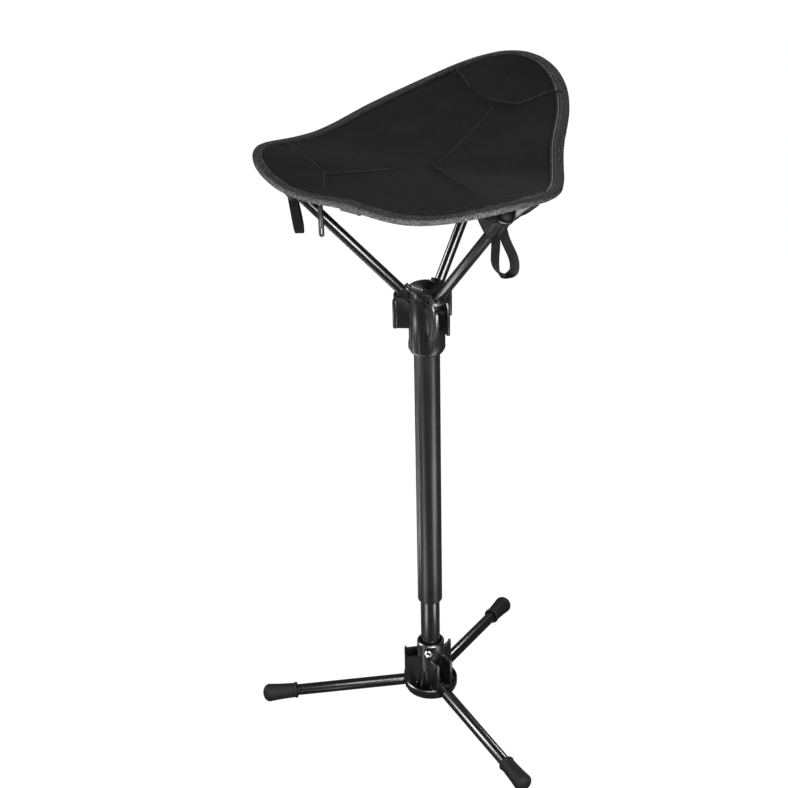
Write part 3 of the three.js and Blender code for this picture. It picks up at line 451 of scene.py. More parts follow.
for row in easedNodes:
    easedCopy(*row)
print("hubs, knuckles and hardware eased")

# Tubes, swept by one tree

tubeSizes = {
    "legSlope": 5.77, "legPinReach": 19, "legPinHeight": 30.023, "footReach": 213.8,
    "armPinReach": 18, "armPinHeight": 561.3, "mastTurn": -4.5,
    "turns": {"left": 180, "rear": 60, "front": -60},
    "rises": {"left": 46, "rear": 48.5, "front": 46},
    "armLengths": {"left": 212, "rear": 280, "front": 234},
    "leg": {"radius": 7, "wall": 1.2, "start": 14.3, "endBack": 10.3, "lip": 0.35},
    "arm": {"radius": 6, "wall": 1, "start": 14.3, "endBack": 4.9, "lip": 0.3},
    "inner": {"radius": 11.8, "wall": 1.5, "start": 55.3, "end": 415, "lip": 0.5},
    "steps": 64,
}


# A tree's sockets and its closing nodes, round the nodes that the builder adds
def makeTree(name, sockets, builder):
    tree = bpy.data.node_groups.new(name, "GeometryNodeTree")
    for label, kind in (("Geometry", "Geometry"), *sockets, ("Material", "Material")):
        tree.interface.new_socket(label, in_out="INPUT", socket_type="NodeSocket" + kind)
    tree.interface.new_socket("Geometry", in_out="OUTPUT", socket_type="NodeSocketGeometry")
    given = addNode(tree, "NodeGroupInput").outputs
    real = addNode(tree, "GeometryNodeRealizeInstances", None, {"Geometry": builder(tree, given)})
    coated = addNode(tree, "GeometryNodeSetMaterial", None,
                     {"Geometry": real.outputs["Geometry"], "Material": given["Material"]})
    addNode(tree, "NodeGroupOutput", None, {"Geometry": coated.outputs["Geometry"]})
    return tree


def tubeNodes(tree, given):
    halfWall = addNode(tree, "ShaderNodeMath", {"operation": "MULTIPLY", 1: 0.5}, {0: given["Wall"]})
    middle = addNode(tree, "ShaderNodeMath", {"operation": "SUBTRACT"},
                     {0: given["Radius"], 1: halfWall.outputs[0]})
    length = addNode(tree, "ShaderNodeMath", {"operation": "SUBTRACT"}, {0: given["End"], 1: given["Start"]})
    path = addNode(tree, "GeometryNodeCurvePrimitiveCircle", None,
                   {"Radius": middle.outputs[0], "Resolution": given["Steps"]})
    section = addNode(tree, "GeometryNodeCurvePrimitiveQuadrilateral", None,
                      {"Width": given["Wall"], "Height": length.outputs[0]})
    eased = addNode(tree, "GeometryNodeFilletCurve", {"mode": "POLY", "Count": 3, "Limit Radius": True},
                    {"Curve": section.outputs[0], "Radius": given["Lip"]})
    swept = addNode(tree, "GeometryNodeCurveToMesh", None,
                    {"Curve": path.outputs["Curve"], "Profile Curve": eased.outputs["Curve"]})
    total = addNode(tree, "ShaderNodeMath", {"operation": "ADD"}, {0: given["Start"], 1: given["End"]})
    centre = addNode(tree, "ShaderNodeMath", {"operation": "MULTIPLY", 1: 0.5}, {0: total.outputs[0]})
    shift = addNode(tree, "ShaderNodeCombineXYZ", None, {"Z": centre.outputs[0]})
    return addNode(tree, "GeometryNodeTransform", None,
                   {"Geometry": swept.outputs["Mesh"], "Translation": shift.outputs[0]}).outputs["Geometry"]


def grown(name, path, tree, material, values):
    sockets = {item.name: item.identifier for item in tree.interface.items_tree if item.in_out == "INPUT"}
    inputs = {sockets[key]: value for key, value in values.items()}
    inputs[sockets["Material"]] = materials[material]
    return baked(name, path, [("NODES", {"node_group": tree, **inputs})])


tubeSockets = [(label, "Float") for label in ("Radius", "Wall", "Start", "End", "Lip")] + [("Steps", "Int")]
tubeTree = makeTree("drawnTube", tubeSockets, tubeNodes)


def tube(name, sizes, end, material, place, body, replaced):
    mesh = grown(name, bpy.data.meshes.new(name + "Path"), tubeTree, material, {
        "Radius": sizes["radius"] * mm, "Wall": sizes["wall"] * mm, "Start": sizes["start"] * mm,
        "End": end * mm, "Lip": sizes["lip"] * mm, "Steps": tubeSizes["steps"]})
    mesh = tidied(mesh)
    mesh.transform(place)
    smoothByAngle(mesh, 50)
    addObject(name, mesh, material, body, [replaced])


def radialPlace(turn, reach, height, rise):
    return turned(turn) @ Matrix.Translation((reach * mm, 0, height * mm)) @ turned(-rise, "Y")


alongX = turned(90, "Y")
legSpan = tubeSizes["footReach"] - tubeSizes["legPinReach"]
legLength = legSpan / cos(radians(tubeSizes["legSlope"]))
legPlaces = {side: radialPlace(tubeSizes["turns"][side], tubeSizes["legPinReach"], tubeSizes["legPinHeight"],
                               -tubeSizes["legSlope"]) for side in sides}
armPlaces = {side: radialPlace(tubeSizes["turns"][side] + tubeSizes["mastTurn"], tubeSizes["armPinReach"],
                               tubeSizes["armPinHeight"], tubeSizes["rises"][side]) for side in sides}
for side in sides:
    for limb, length, places in (("leg", legLength, legPlaces),
                                 ("arm", tubeSizes["armLengths"][side], armPlaces)):
        tube(limb + "Tube_" + side, tubeSizes[limb], length - tubeSizes[limb]["endBack"], "glossBlackTube",
             places[side] @ alongX, limb + "_" + side, limb + "_tube_" + side)
tube("innerMast", tubeSizes["inner"], tubeSizes["inner"]["end"], "anodisedInner", Matrix.Identity(4), "base",
     "inner_tube")

# Outer mast tube with its three pressed grooves and turned-in lips

mastSizes = {"radius": 15, "wall": 1.5, "bottom": 153, "top": 535, "grooves": 3, "grooveTurn": -24.5,
             "grooveDepth": 0.5, "grooveWidth": 3.2, "lip": 0.5, "lipTurn": 0.3, "steps": 240}


def grooveDip(angle, sizes):
    pitch = 2 * pi / sizes["grooves"]
    off = (angle - radians(sizes["grooveTurn"])) % pitch
    off = min(off, pitch - off) * sizes["radius"] / (sizes["grooveWidth"] / 2)
    return sizes["grooveDepth"] * (0.5 + 0.5 * cos(pi * min(off, 1)))


def outerMast(sizes):
    lip, wall, turn = sizes["lip"], sizes["wall"], sizes["lip"] * sizes["lipTurn"]
    profile = [(0, sizes["bottom"] + lip), (-turn, sizes["bottom"] + turn), (-lip, sizes["bottom"]),
               (lip - wall, sizes["bottom"]), (-wall, sizes["bottom"] + lip), (-wall, sizes["top"] - lip),
               (lip - wall, sizes["top"]), (-lip, sizes["top"]), (0, sizes["top"] - lip)]
    points = []
    for step in range(sizes["steps"]):
        angle = 2 * pi * step / sizes["steps"]
        outer = sizes["radius"] - grooveDip(angle, sizes)
        points += [((outer + inset) * cos(angle) * mm, (outer + inset) * sin(angle) * mm, height * mm)
                   for inset, height in profile]
    mesh = tidied(meshFrom("outerMast", points, ringFaces(sizes["steps"], len(profile), closed=True)))
    smoothByAngle(mesh, 40)
    addObject("outerMast", mesh, "anodisedMast", "mast", ["outer_tube"])


outerMast(mastSizes)

# Feet: flared caps with a rolled mouth bead and a domed end

footSizes = {"length": 44, "endRadius": 11.2, "mouthRadius": 9.2, "dome": 8, "bore": 7.3, "boreDepth": 34,
             "lip": 0.5, "bead": 0.9, "beadSteps": 8, "beadLength": 3.4, "waist": 0.35, "bodySteps": 12,
             "steps": 64}


def footCap(side, sizes):
    start = legLength - sizes["length"]
    profile = [(0, start + sizes["boreDepth"]), (sizes["bore"], start + sizes["boreDepth"]),
               (sizes["bore"], start + sizes["lip"]), (sizes["bore"] + sizes["lip"], start)]
    for step in range(sizes["beadSteps"] + 1):
        angle = pi * step / sizes["beadSteps"]
        profile.append((sizes["mouthRadius"] + sizes["bead"] * sin(angle),
                        start + sizes["beadLength"] * (1 - cos(angle)) / 2))
    domeStart, steps = legLength - sizes["dome"], sizes["bodySteps"]
    for step in range(1, steps + 1):
        share = step / steps
        rise = sizes["mouthRadius"] + (sizes["endRadius"] - sizes["mouthRadius"]) * share
        profile.append((rise - sizes["waist"] * sin(pi * share),
                        start + sizes["beadLength"] + (domeStart - start - sizes["beadLength"]) * share))
    for step in range(1, steps + 1):
        angle = pi / 2 * step / steps
        profile.append((sizes["endRadius"] * cos(angle), domeStart + sizes["dome"] * sin(angle)))
    profile = [(radius * mm, height * mm) for radius, height in profile]
    mesh = lathe("footCap_" + side, profile, sizes["steps"], legPlaces[side] @ alongX)
    addObject("footCap_" + side, mesh, "footRubber", "leg_" + side, ["foot_cap_" + side])


for side in sides:
    footCap(side, footSizes)
print("tubes and feet made")

# Seat, in millimetres

seatSizes = {
    # the rim's radius and height as sums of waves from the rear corner on: (size, wave, how many go round)
    "plan": ((175.3, cos, 0), (23.4, cos, 3), (10.1, cos, 1), (5.2, cos, 2), (7.5, sin, 2), (0.8, cos, 6)),
    "height": ((738.7, cos, 0), (10.1, cos, 3), (20.8, cos, 1), (-5.9, sin, 1), (11, cos, 2), (3.6, cos, 6)),
    "turn": 55.5, "centre": 719, "curve": 1.45, "bindingWidth": 11.5, "bindingThickness": 7.5, "gap": 0.3,
    "clothTop": 1.8, "clothThickness": 2.6, "hidden": 0.034, "rings": 96, "steps": 480,
    "reliefEnd": 1.015, "reliefFade": 0.02,
    "lowShare": 0.4,  # how much of the folds the cloth's underside follows
}


def rimPoint(angle):
    radius, height = (sum(size * wave(count * radians(angle)) for size, wave, count in seatSizes[key])
                      for key in ("plan", "height"))
    turn = radians(angle + seatSizes["turn"])
    return Vector((radius * cos(turn), radius * sin(turn), height))


def rimOutward(angle):
    along = rimPoint(angle + 1) - rimPoint(angle - 1)
    return Vector((along.y, -along.x, 0)).normalized()


def rimInset(angle, inset):
    return rimPoint(angle) - rimOutward(angle) * inset


def clothEdge(angle):
    return rimInset(angle, seatSizes["bindingWidth"] + seatSizes["gap"])


def slingPoint(angle, share):
    edge = clothEdge(angle)
    rise = (edge.z - seatSizes["centre"]) * min(share, 1) ** seatSizes["curve"]
    return Vector((edge.x * share, edge.y * share, seatSizes["centre"] + rise))


def slingHeight(x, y):
    angle = degrees(atan2(y, x)) - seatSizes["turn"]
    edge = clothEdge(angle)
    share = hypot(x, y) / hypot(edge.x, edge.y)
    return slingPoint(angle, share).z


# A smooth curve through flat knots (Catmull-Rom)
def smoothPath(pairs, steps=8):
    knots = [Vector((x, y, 0)) for x, y in pairs]
    points = []
    padded = [2 * knots[0] - knots[1]] + knots + [2 * knots[-1] - knots[-2]]
    for index in range(1, len(padded) - 2):
        before, start, end, after = padded[index - 1:index + 3]
        bend, twist = 2 * before - 5 * start + 4 * end - after, 3 * start - before - 3 * end + after
        for step in range(steps):
            t = step / steps
            points.append(0.5 * (2 * start + (end - before) * t + bend * t ** 2 + twist * t ** 3))
    points.append(knots[-1])
    return points


# Seams and patches are drawn in plan, in millimetres from the mast's axis
seamLines = {
    "leftSeam": {"knots": [(5, -6), (-40, -17.5), (-102, -32)], "rise": 0.9, "width": 2.2, "double": 0},
    "rearSeam": {"knots": [(5, -6), (40, 43), (75, 91)], "rise": 0.9, "width": 2.2, "double": 0},
    "frontSeam": {"knots": [(5, -6), (31, -79), (55, -152)], "rise": 1.1, "width": 1.8, "double": 2.6},
    "leftCornerSeam": {"knots": [(-106, -27), (-128, -20), (-148, -14)],
                       "rise": 0.35, "width": 2, "double": 0},
    "rearCornerSeam": {"knots": [(96, 123), (103, 137), (110, 152)], "rise": 0.35, "width": 2, "double": 0},
}
# A patch covers its corner from this edge outwards: rim angle in degrees, share of the way to the rim
patchEdges = {
    "rearPatch": [(-29, 1.04), (-25.5, 0.985), (-19, 0.74), (-10, 0.655), (1, 0.635), (11, 0.69),
                  (21.5, 0.93), (24, 1.04)],
    "leftPatch": [(106, 1.04), (109.5, 0.815), (117, 0.735), (125, 0.70), (133, 0.675), (141, 0.675),
                  (155, 0.81), (165.5, 0.93), (169, 1.04)],
    "frontPatch": [(212, 1.04), (217, 0.96), (228, 0.885), (237, 0.87), (246, 0.89), (256, 0.96),
                   (261, 1.04)],
}
patchSizes = {"rise": 1.3, "edge": 0.8, "stitchBack": 2.4, "stitchDip": 0.5, "stitchWidth": 0.8}
# Depth of a seam's groove as a share of its rise, and the groove's width: sewn once or twice
grooveSizes = {"single": (0.7, 0.8), "double": (0.5, 0.9)}
beyond = 9  # a share of the way that no spot of the cloth reaches


def seamPath(line):
    return [point.xy for point in smoothPath(line)]


def patchPath(edge):
    return [slingPoint(point.x, point.y).xy for point in smoothPath(edge)]


def distanceTo(path, points):
    best = np.full(len(points), 1e9)
    for start, end in zip(path[:-1], path[1:]):
        a, b = np.array((start.x, start.y)), np.array((end.x, end.y))
        share = np.clip(((points - a) @ (b - a)) / max((b - a) @ (b - a), 1e-9), 0, 1)
        best = np.minimum(best, np.linalg.norm(points - a - share[:, None] * (b - a), axis=1))
    return best


def seatRelief(plan, angles, shares):
    lift = np.zeros(len(plan))
    for line in seamLines.values():
        away = distanceTo(seamPath(line["knots"]), plan)
        depth, wide = grooveSizes["double" if line["double"] else "single"]
        ridge = np.exp(-((away - line["double"]) / line["width"]) ** 2) - depth * np.exp(-(away / wide) ** 2)
        lift += line["rise"] * ridge
    for edge in patchEdges.values():
        path = smoothPath(edge)
        limit = np.interp(angles, [point.x for point in path], [point.y for point in path],
                          left=beyond, right=beyond)
        away = distanceTo(patchPath(edge), plan)
        inside = np.where(shares > limit, 1.0, -1.0)
        over = 0.5 + 0.5 * np.tanh(inside * away / patchSizes["edge"])
        lift += patchSizes["rise"] * over
        dip = np.exp(-((inside * away - patchSizes["stitchBack"]) / patchSizes["stitchWidth"]) ** 2)
        lift -= patchSizes["stitchDip"] * dip
    return lift


# Soft tension folds fan out from the corners, and the cloth puckers a little behind the binding
foldSizes = {
    "corners": (0, 120, 240), "spread": 46, "waves": 11.5, "phase": 1.7, "rise": 0.7, "from": (0.45, 0.4),
    "fanEnd": 0.12, "puckerEnd": 1.02, "puckerFade": 0.02, "swayEnd": 0.1,
    "pucker": 0.35, "puckerRun": 170, "puckerLength": 21, "puckerWander": 6, "puckerFrom": (0.9, 0.1),
    "wander": (0.05, 0.3), "sway": 0.6, "swayWander": (0.018, 2.1),  # scale and layer of the noise
}


def between(value, start, length):
    return np.clip((value - start) / length, 0, 1)


def clothNoise(plan, scale, layer):
    return np.array([noise.noise(Vector((x * scale, y * scale, layer))) for x, y in plan])


def seatFolds(plan, angles, shares):
    size = foldSizes
    lift = np.zeros(len(plan))
    for index, corner in enumerate(size["corners"]):
        off = (angles - corner + 180) % 360 - 180
        fan = np.exp(-(off / size["spread"]) ** 2)
        reach = fan * between(shares, *size["from"]) * between(1 - shares, 0, size["fanEnd"])
        lift += size["rise"] * reach * np.sin(np.radians(off) * size["waves"] + size["phase"] * index)
    edge = between(shares, *size["puckerFrom"]) * between(size["puckerEnd"] - shares, 0, size["puckerFade"])
    turn = 2 * pi * np.radians(angles) * size["puckerRun"] / size["puckerLength"]
    wander = size["puckerWander"] * clothNoise(plan, *size["wander"])
    lift += size["pucker"] * edge * np.sin(turn + wander)
    lift += size["sway"] * clothNoise(plan, *size["swayWander"]) * between(1 - shares, 0, size["swayEnd"])
    return lift


def seatCloth(size):
    edges = [clothEdge(360 * step / size["steps"]) for step in range(size["steps"])]
    limit = 1 + size["hidden"]
    plan, angles, shares, heights = [], [], [], []
    for ring in range(1, size["rings"] + 1):
        share = limit * ring / size["rings"]
        for step, edge in enumerate(edges):
            plan.append((edge.x * share, edge.y * share))
            angles.append(360 * step / size["steps"])
            shares.append(share)
            heights.append(size["centre"] + (edge.z - size["centre"]) * min(share, 1) ** size["curve"])
    plan.append((0, 0))
    angles.append(0)
    shares.append(0)
    heights.append(size["centre"])
    plan, angles, shares = np.array(plan), np.array(angles), np.array(shares)
    relief = seatRelief(plan, angles, shares) * between(size["reliefEnd"] - shares, 0, size["reliefFade"])
    lift = seatFolds(plan, angles, shares) + relief
    middle = np.array(heights) + lift
    count = len(plan)
    points = [(x * mm, y * mm, (z + size["clothTop"]) * mm) for (x, y), z in zip(plan, middle)]
    low = np.array(heights) + lift * size["lowShare"] + size["clothTop"] - size["clothThickness"]
    points += [(x * mm, y * mm, z * mm) for (x, y), z in zip(plan, low)]
    faces, centre, steps = [], count - 1, size["steps"]
    for step in range(steps):
        ahead = (step + 1) % steps
        faces += [(centre, step, ahead), (count + centre, count + ahead, count + step)]
        for ring in range(size["rings"] - 1):
            a, b = ring * steps + step, ring * steps + ahead
            faces += [(a, a + steps, b + steps, b),
                      (count + a, count + b, count + b + steps, count + a + steps)]
        a, b = (size["rings"] - 1) * steps + step, (size["rings"] - 1) * steps + ahead
        faces.append((a, count + a, count + b, b))
    mesh = meshFrom("seatCloth", points, faces)
    smoothByAngle(mesh, 60)
    return addObject("seatCloth", mesh, "oxfordCloth", "seat", ["seat_sling"])


cloth = seatCloth(seatSizes)
print("seat cloth made")


def sweepRim(name, section, start, end, steps, wobble=0):
    whole = end - start >= 360
    along, around = bindingSizes["ripples"]
    stations = steps if whole else steps + 1
    count = len(section)
    perimeter = [0]
    for here, ahead in zip(section, section[1:] + section[:1]):
        perimeter.append(perimeter[-1] + hypot(ahead[0] - here[0], ahead[1] - here[1]))
    points, coords, run, last = [], [], [], None
    for station in range(steps + 1):
        angle = start + (end - start) * station / steps
        centre = rimInset(angle, seatSizes["bindingWidth"] / 2)
        run.append(0 if last is None else run[-1] + (centre - last).length)
        last = centre
        if station == stations:
            break
        outward = rimOutward(angle)
        for index, (out, up) in enumerate(section):
            grow = 1 + wobble * noise.noise(Vector((centre.x * along, centre.y * along, index * around)))
            points.append((centre + outward * out * grow + Vector((0, 0, up * grow))) * mm)
    faces = ringFaces(stations, count, closed=whole)
    for near, far in zip(run, run[1:]):
        for low, high in zip(perimeter, perimeter[1:]):
            coords += [(near, low), (far, low), (far, high), (near, high)]
    if not whole:
        faces += endFaces(stations, count)
        coords += [(0, 0)] * (2 * count)
    mesh = meshFrom(name, points, faces)
    giveUv(mesh, coords)
    return mesh


def ovalSection(width, thickness, count, start=0, end=360, square=0.6):
    points = []
    last = count if end - start < 360 else count - 1
    for index in range(last + 1):
        angle = radians(start + (end - start) * index / count)
        points.append(tuple(copysign(abs(part) ** square, part) * size / 2
                            for part, size in ((cos(angle), width), (sin(angle), thickness))))
    return points


# Folded edge tape all round, and the loose end that is lapped over it
bindingSizes = {"steps": 420, "count": 28, "wobble": 0.05, "tabStart": 178, "tabEnd": 187, "tabOpening": 48,
                "tabGap": 0.6, "tabThickness": 1.3, "tabSteps": 24, "tabCount": 24, "tabWobble": 0.02,
                "ripples": (0.06, 0.35)}  # how fast the tape's thickness wanders, along it and round it
section = ovalSection(seatSizes["bindingWidth"], seatSizes["bindingThickness"], bindingSizes["count"])
mesh = sweepRim("rimBinding", section, 0, 360, bindingSizes["steps"], bindingSizes["wobble"])
smoothByAngle(mesh, 60)
addObject("rimBinding", mesh, "edgeTape", "seat", ["rim_binding"])


def lappedEnd(size):
    reach = 180 - size["tabOpening"]
    wraps = [ovalSection(seatSizes["bindingWidth"] + grow, seatSizes["bindingThickness"] + grow,
                         size["tabCount"], -reach, reach)
             for grow in (size["tabGap"] + 2 * size["tabThickness"], size["tabGap"])]
    mesh = sweepRim("lappedEnd", wraps[0] + wraps[1][::-1], size["tabStart"], size["tabEnd"],
                    size["tabSteps"], size["tabWobble"])
    smoothByAngle(mesh, 50)
    addObject("lappedEnd", mesh, "edgeTape", "seat", ["binding_tab"])


lappedEnd(bindingSizes)

# Paths that stitches, cord and teeth follow


def pathMesh(name, points, closed=False):
    mesh = bpy.data.meshes.new(name)
    edges = [(index, index + 1) for index in range(len(points) - 1)]
    if closed:
        edges.append((len(points) - 1, 0))
    mesh.from_pydata([tuple(point) for point in points], edges, [])
    return mesh


def rowNodes(tree, given):
    curve = addNode(tree, "GeometryNodeMeshToCurve", None, {"Mesh": given["Geometry"]})
    spaced = addNode(tree, "GeometryNodeResampleCurve", {"mode": "LENGTH"},
                     {"Curve": curve.outputs["Curve"], "Length": given["Pitch"]})
    tangent = addNode(tree, "GeometryNodeInputTangent")
    facing = addNode(tree, "FunctionNodeAlignRotationToVector", {"axis": "X"},
                     {"Vector": tangent.outputs["Tangent"]})
    bead = addNode(tree, "GeometryNodeMeshUVSphere", {"Segments": 8, "Rings": 6, "Radius": 0.5})
    return addNode(tree, "GeometryNodeInstanceOnPoints", None,
                   {"Points": spaced.outputs["Curve"], "Instance": bead.outputs["Mesh"],
                    "Rotation": facing.outputs["Rotation"], "Scale": given["Size"]}).outputs["Instances"]


def cordNodes(tree, given):
    curve = addNode(tree, "GeometryNodeMeshToCurve", None, {"Mesh": given["Geometry"]})
    section = addNode(tree, "GeometryNodeCurvePrimitiveCircle", None,
                      {"Radius": given["Radius"], "Resolution": given["Sides"]})
    return addNode(tree, "GeometryNodeCurveToMesh", {"Fill Caps": True},
                   {"Curve": curve.outputs[0], "Profile Curve": section.outputs[0]}).outputs["Mesh"]


rowTree = makeTree("rowOfPieces", (("Pitch", "Float"), ("Size", "Vector")), rowNodes)
cordTree = makeTree("roundCord", (("Radius", "Float"), ("Sides", "Int")), cordNodes)
stitch = {"pitch": 3.4, "length": 2.3, "width": 0.75, "height": 0.5}


def stitchRow(name, points, size=stitch, closed=False):
    mesh = grown(name, pathMesh(name + "Path", points, closed), rowTree, "blackThread", {
        "Pitch": size["pitch"] * mm, "Size": [size[key] * mm for key in ("length", "width", "height")]})
    mesh.shade_smooth()
    addObject(name, mesh, "blackThread", "seat")


def clothUnder(x, y):
    return slingHeight(x, y) + seatSizes["clothTop"] - seatSizes["clothThickness"]


def clothTop(x, y, proud=0):
    return Vector((x, y, slingHeight(x, y) + seatSizes["clothTop"] + proud)) * mm


# Binding stitches run on its top, near its inner edge; the seams and patches have a row along each
sewn = {"steps": 300, "inset": 2.2, "sunk": 0.15, "patchSunk": 0.35, "patchTrim": 6, "seamOff": 3.4,
        "seamProud": 0.1, "seamTrim": 2}
onTop = Vector((0, 0, seatSizes["bindingThickness"] / 2 - sewn["sunk"]))
stitchRow("bindingStitch", [(rimInset(360 * step / sewn["steps"], seatSizes["bindingWidth"] - sewn["inset"])
                             + onTop) * mm for step in range(sewn["steps"])], closed=True)
for name, edge in patchEdges.items():
    path = patchPath(edge)[sewn["patchTrim"]:-sewn["patchTrim"]]
    inside = [point + point.normalized() * patchSizes["stitchBack"] for point in path]
    stitchRow(name + "Stitch", [clothTop(x, y, patchSizes["rise"] - sewn["patchSunk"]) for x, y in inside])
for name in ("leftSeam", "rearSeam", "frontSeam"):
    path = seamPath(seamLines[name]["knots"])
    across = Vector((path[-1].y - path[0].y, path[0].x - path[-1].x)).normalized() * sewn["seamOff"]
    stitchRow(name + "Stitch", [clothTop(*(point + across), sewn["seamProud"])
                                for point in path[sewn["seamTrim"]:]])


def cord(name, points, radius, material, closed=False):
    mesh = tidied(grown(name, pathMesh(name + "Path", points, closed), cordTree, material,
                        {"Radius": radius * mm, "Sides": 10}))
    mesh.shade_smooth()
    giveUv(mesh)
    addObject(name, mesh, material, "seat")


# Piping beside the binding, with the sewn groove between them; the groove is a black cord, which is painted
# shade
for name, inset, radius, proud, material in (("weltCord", 14, 0.8, 0.35, "edgeTape"),
                                             ("weltGrooveShade", 12.5, 0.85, -0.1, "blackThread")):
    line = [rimInset(step, inset) + Vector((0, 0, seatSizes["clothTop"] + proud)) for step in range(360)]
    cord(name, [spot * mm for spot in line], radius, material, True)

# Turned edges of the patches and of the two plain seams
foldCord = {"radius": 1.1, "sunk": 0.55, "riseShare": 0.6, "trim": 3}
folds = [(name, patchPath(edge)[foldCord["trim"]:-foldCord["trim"]], patchSizes["rise"])
         for name, edge in patchEdges.items()]
folds += [(name, seamPath(seamLines[name]["knots"]), seamLines[name]["rise"])
          for name in ("leftSeam", "rearSeam")]
for name, line, rise in folds:
    proud = rise * foldCord["riseShare"] - foldCord["sunk"]
    cord(name + "Fold", [clothTop(x, y, proud) for x, y in line], foldCord["radius"], "oxfordCloth")
print("binding, welt and stitches made")

# Corner pockets: cups sewn under the seat, open towards the mast, with a hemmed gap at their outer end
pocketSizes = {
    "length": 38, "tipRadius": 7.2, "slack": 1.1, "mouthRadius": 11, "mouthWidth": 25, "endWidth": 14,
    "cupShare": 0.62, "cupEnd": 4, "rows": 20, "around": 32, "thickness": 1.2, "under": 0.4,
    "narrowing": 1.5, "taper": 0.8, "bowl": 0.6, "swing": 82, "topBack": 2, "lean": 0.9,
    "crease": 0.9, "creaseTurns": (9, 4), "bulge": 2.6, "bulgeOut": 0.8, "bulgeDown": 0.5,
    "ripple": 0.9, "rippleTurn": 7, "rippleStart": 2,
    # the outer hem's two ends and its sagging middle, from the arm tip's end: reach, across, height
    "gap": {"left": ((0, -19, -4), (-1, 0, -14), (0, 19, -4)),
            "rear": ((-2, -19, -4), (-2, 0, -14), (-2, 19, -4)),
            "front": ((2.5, -25, 1), (-2, -1, -12), (1.5, 34, 4))},
    "hemCurve": 1.35, "hemSag": 1.2, "hemWidth": 4.2, "hemThickness": 1.7, "lineWidth": 1.7, "hemSteps": 24,
}


def sideFrame(side):
    rise = radians(tubeSizes["rises"][side])
    return turned(tubeSizes["turns"][side] + tubeSizes["mastTurn"]), tubeSizes["armLengths"][side], rise


def armPoint(side, axial):
    rise = sideFrame(side)[2]
    return Vector((tubeSizes["armPinReach"] + axial * cos(rise), 0,
                   tubeSizes["armPinHeight"] + axial * sin(rise)))


def underSeat(side, reach, across):
    world = sideFrame(side)[0] @ Vector((reach, across, 0))
    return clothUnder(world.x, world.y) - pocketSizes["under"]


def cupPoint(side, share, across, size):
    length, rise = sideFrame(side)[1:]
    centre = armPoint(side, length - size["length"] + (size["length"] - size["cupEnd"]) * share)
    narrow = size["tipRadius"] + size["slack"]
    radius = size["mouthRadius"] + (narrow - size["mouthRadius"]) * min(1, share * size["narrowing"])
    half = size["mouthWidth"] + (size["endWidth"] - size["mouthWidth"]) * share ** size["taper"]
    swing = radians(size["swing"]) * max(-1, min(1, across / size["bowl"]))
    low = centre + Vector((radius * cos(swing) * sin(rise), radius * sin(swing),
                           -radius * cos(swing) * cos(rise)))
    lean = max(0, abs(across) - size["bowl"]) / (1 - size["bowl"])
    top = Vector((centre.x - size["topBack"], copysign(half, across), 0))
    top.z = underSeat(side, top.x, top.y)
    spot = low.lerp(top, lean ** size["lean"])
    down, sideways = size["creaseTurns"]
    spot.y += size["crease"] * sin(lean * pi) * sin(share * down + across * sideways)
    return spot


def hemPoint(side, across, size):
    tip = armPoint(side, tubeSizes["armLengths"][side])
    start, middle, end = (tip + Vector(offset) for offset in size["gap"][side])
    share = min(1, abs(across)) ** size["hemCurve"]
    spot = middle.lerp(end if across > 0 else start, share)
    spot.z -= size["hemSag"] * sin(pi * share)
    return spot


def pocketPoint(side, share, across, size):
    if share <= size["cupShare"]:
        spot = cupPoint(side, share / size["cupShare"], across, size)
    else:
        past = (share - size["cupShare"]) / (1 - size["cupShare"])
        start, end = cupPoint(side, 1, across, size), hemPoint(side, across, size)
        spot = start.lerp(end, past)
        bulge = size["bulge"] * sin(pi * past) * (1 - across * across)
        wave = sin(size["rippleTurn"] * across + size["rippleStart"]) * sin(pi * past)
        spot += Vector((bulge * size["bulgeOut"], size["ripple"] * wave, -bulge * size["bulgeDown"]))
    spot.z = min(spot.z, underSeat(side, spot.x, spot.y))
    return spot


def cornerPocket(side, size):
    across = [2 * index / size["around"] - 1 for index in range(size["around"] + 1)]
    points = [pocketPoint(side, row / size["rows"], place, size) * mm
              for row in range(size["rows"] + 1) for place in across]
    width = len(across)
    faces = [(at, at + 1, at + width + 1, at + width)
             for row in range(size["rows"]) for at in range(row * width, row * width + width - 1)]
    name = "cornerPocket_" + side
    mesh = tidied(baked(name, meshFrom(name, points, faces), [
        ("SOLIDIFY", {"thickness": size["thickness"] * mm, "offset": 0}),
        ("SUBSURF", {"levels": 1, "render_levels": 1})]))
    mesh.transform(sideFrame(side)[0])
    mesh.shade_smooth()
    piece = addObject(name, mesh, "coatedBack", "seat", ["corner_pocket_" + side])


def tangentAt(spots, index):
    return (spots[min(index + 1, len(spots) - 1)] - spots[max(index - 1, 0)]).normalized()


ribbonSection = {"count": 12, "square": 0.35}


def ribbon(name, spots, wides, width, thickness, place):
    points, coords, along = [], [], [0]
    section = ovalSection(width, thickness, **ribbonSection)
    for index, (spot, wide) in enumerate(zip(spots, wides)):
        tangent = tangentAt(spots, index)
        flat = (wide - tangent * wide.dot(tangent)).normalized()
        out = tangent.cross(flat)
        points += [(spot + flat * a + out * b) * mm for a, b in section]
        if index:
            along.append(along[-1] + (spot - spots[index - 1]).length)
    for near, far in zip(along, along[1:]):
        for low, high in zip(section, section[1:] + section[:1]):
            coords += [(near, low[0]), (far, low[0]), (far, high[0]), (near, high[0])]
    rings, count = len(spots), len(section)
    mesh = meshFrom(name, points, ringFaces(rings, count) + endFaces(rings, count))
    giveUv(mesh, coords + [(0, 0)] * (2 * count))
    mesh = tidied(mesh)
    mesh.transform(place)
    smoothByAngle(mesh, 50)
    return mesh


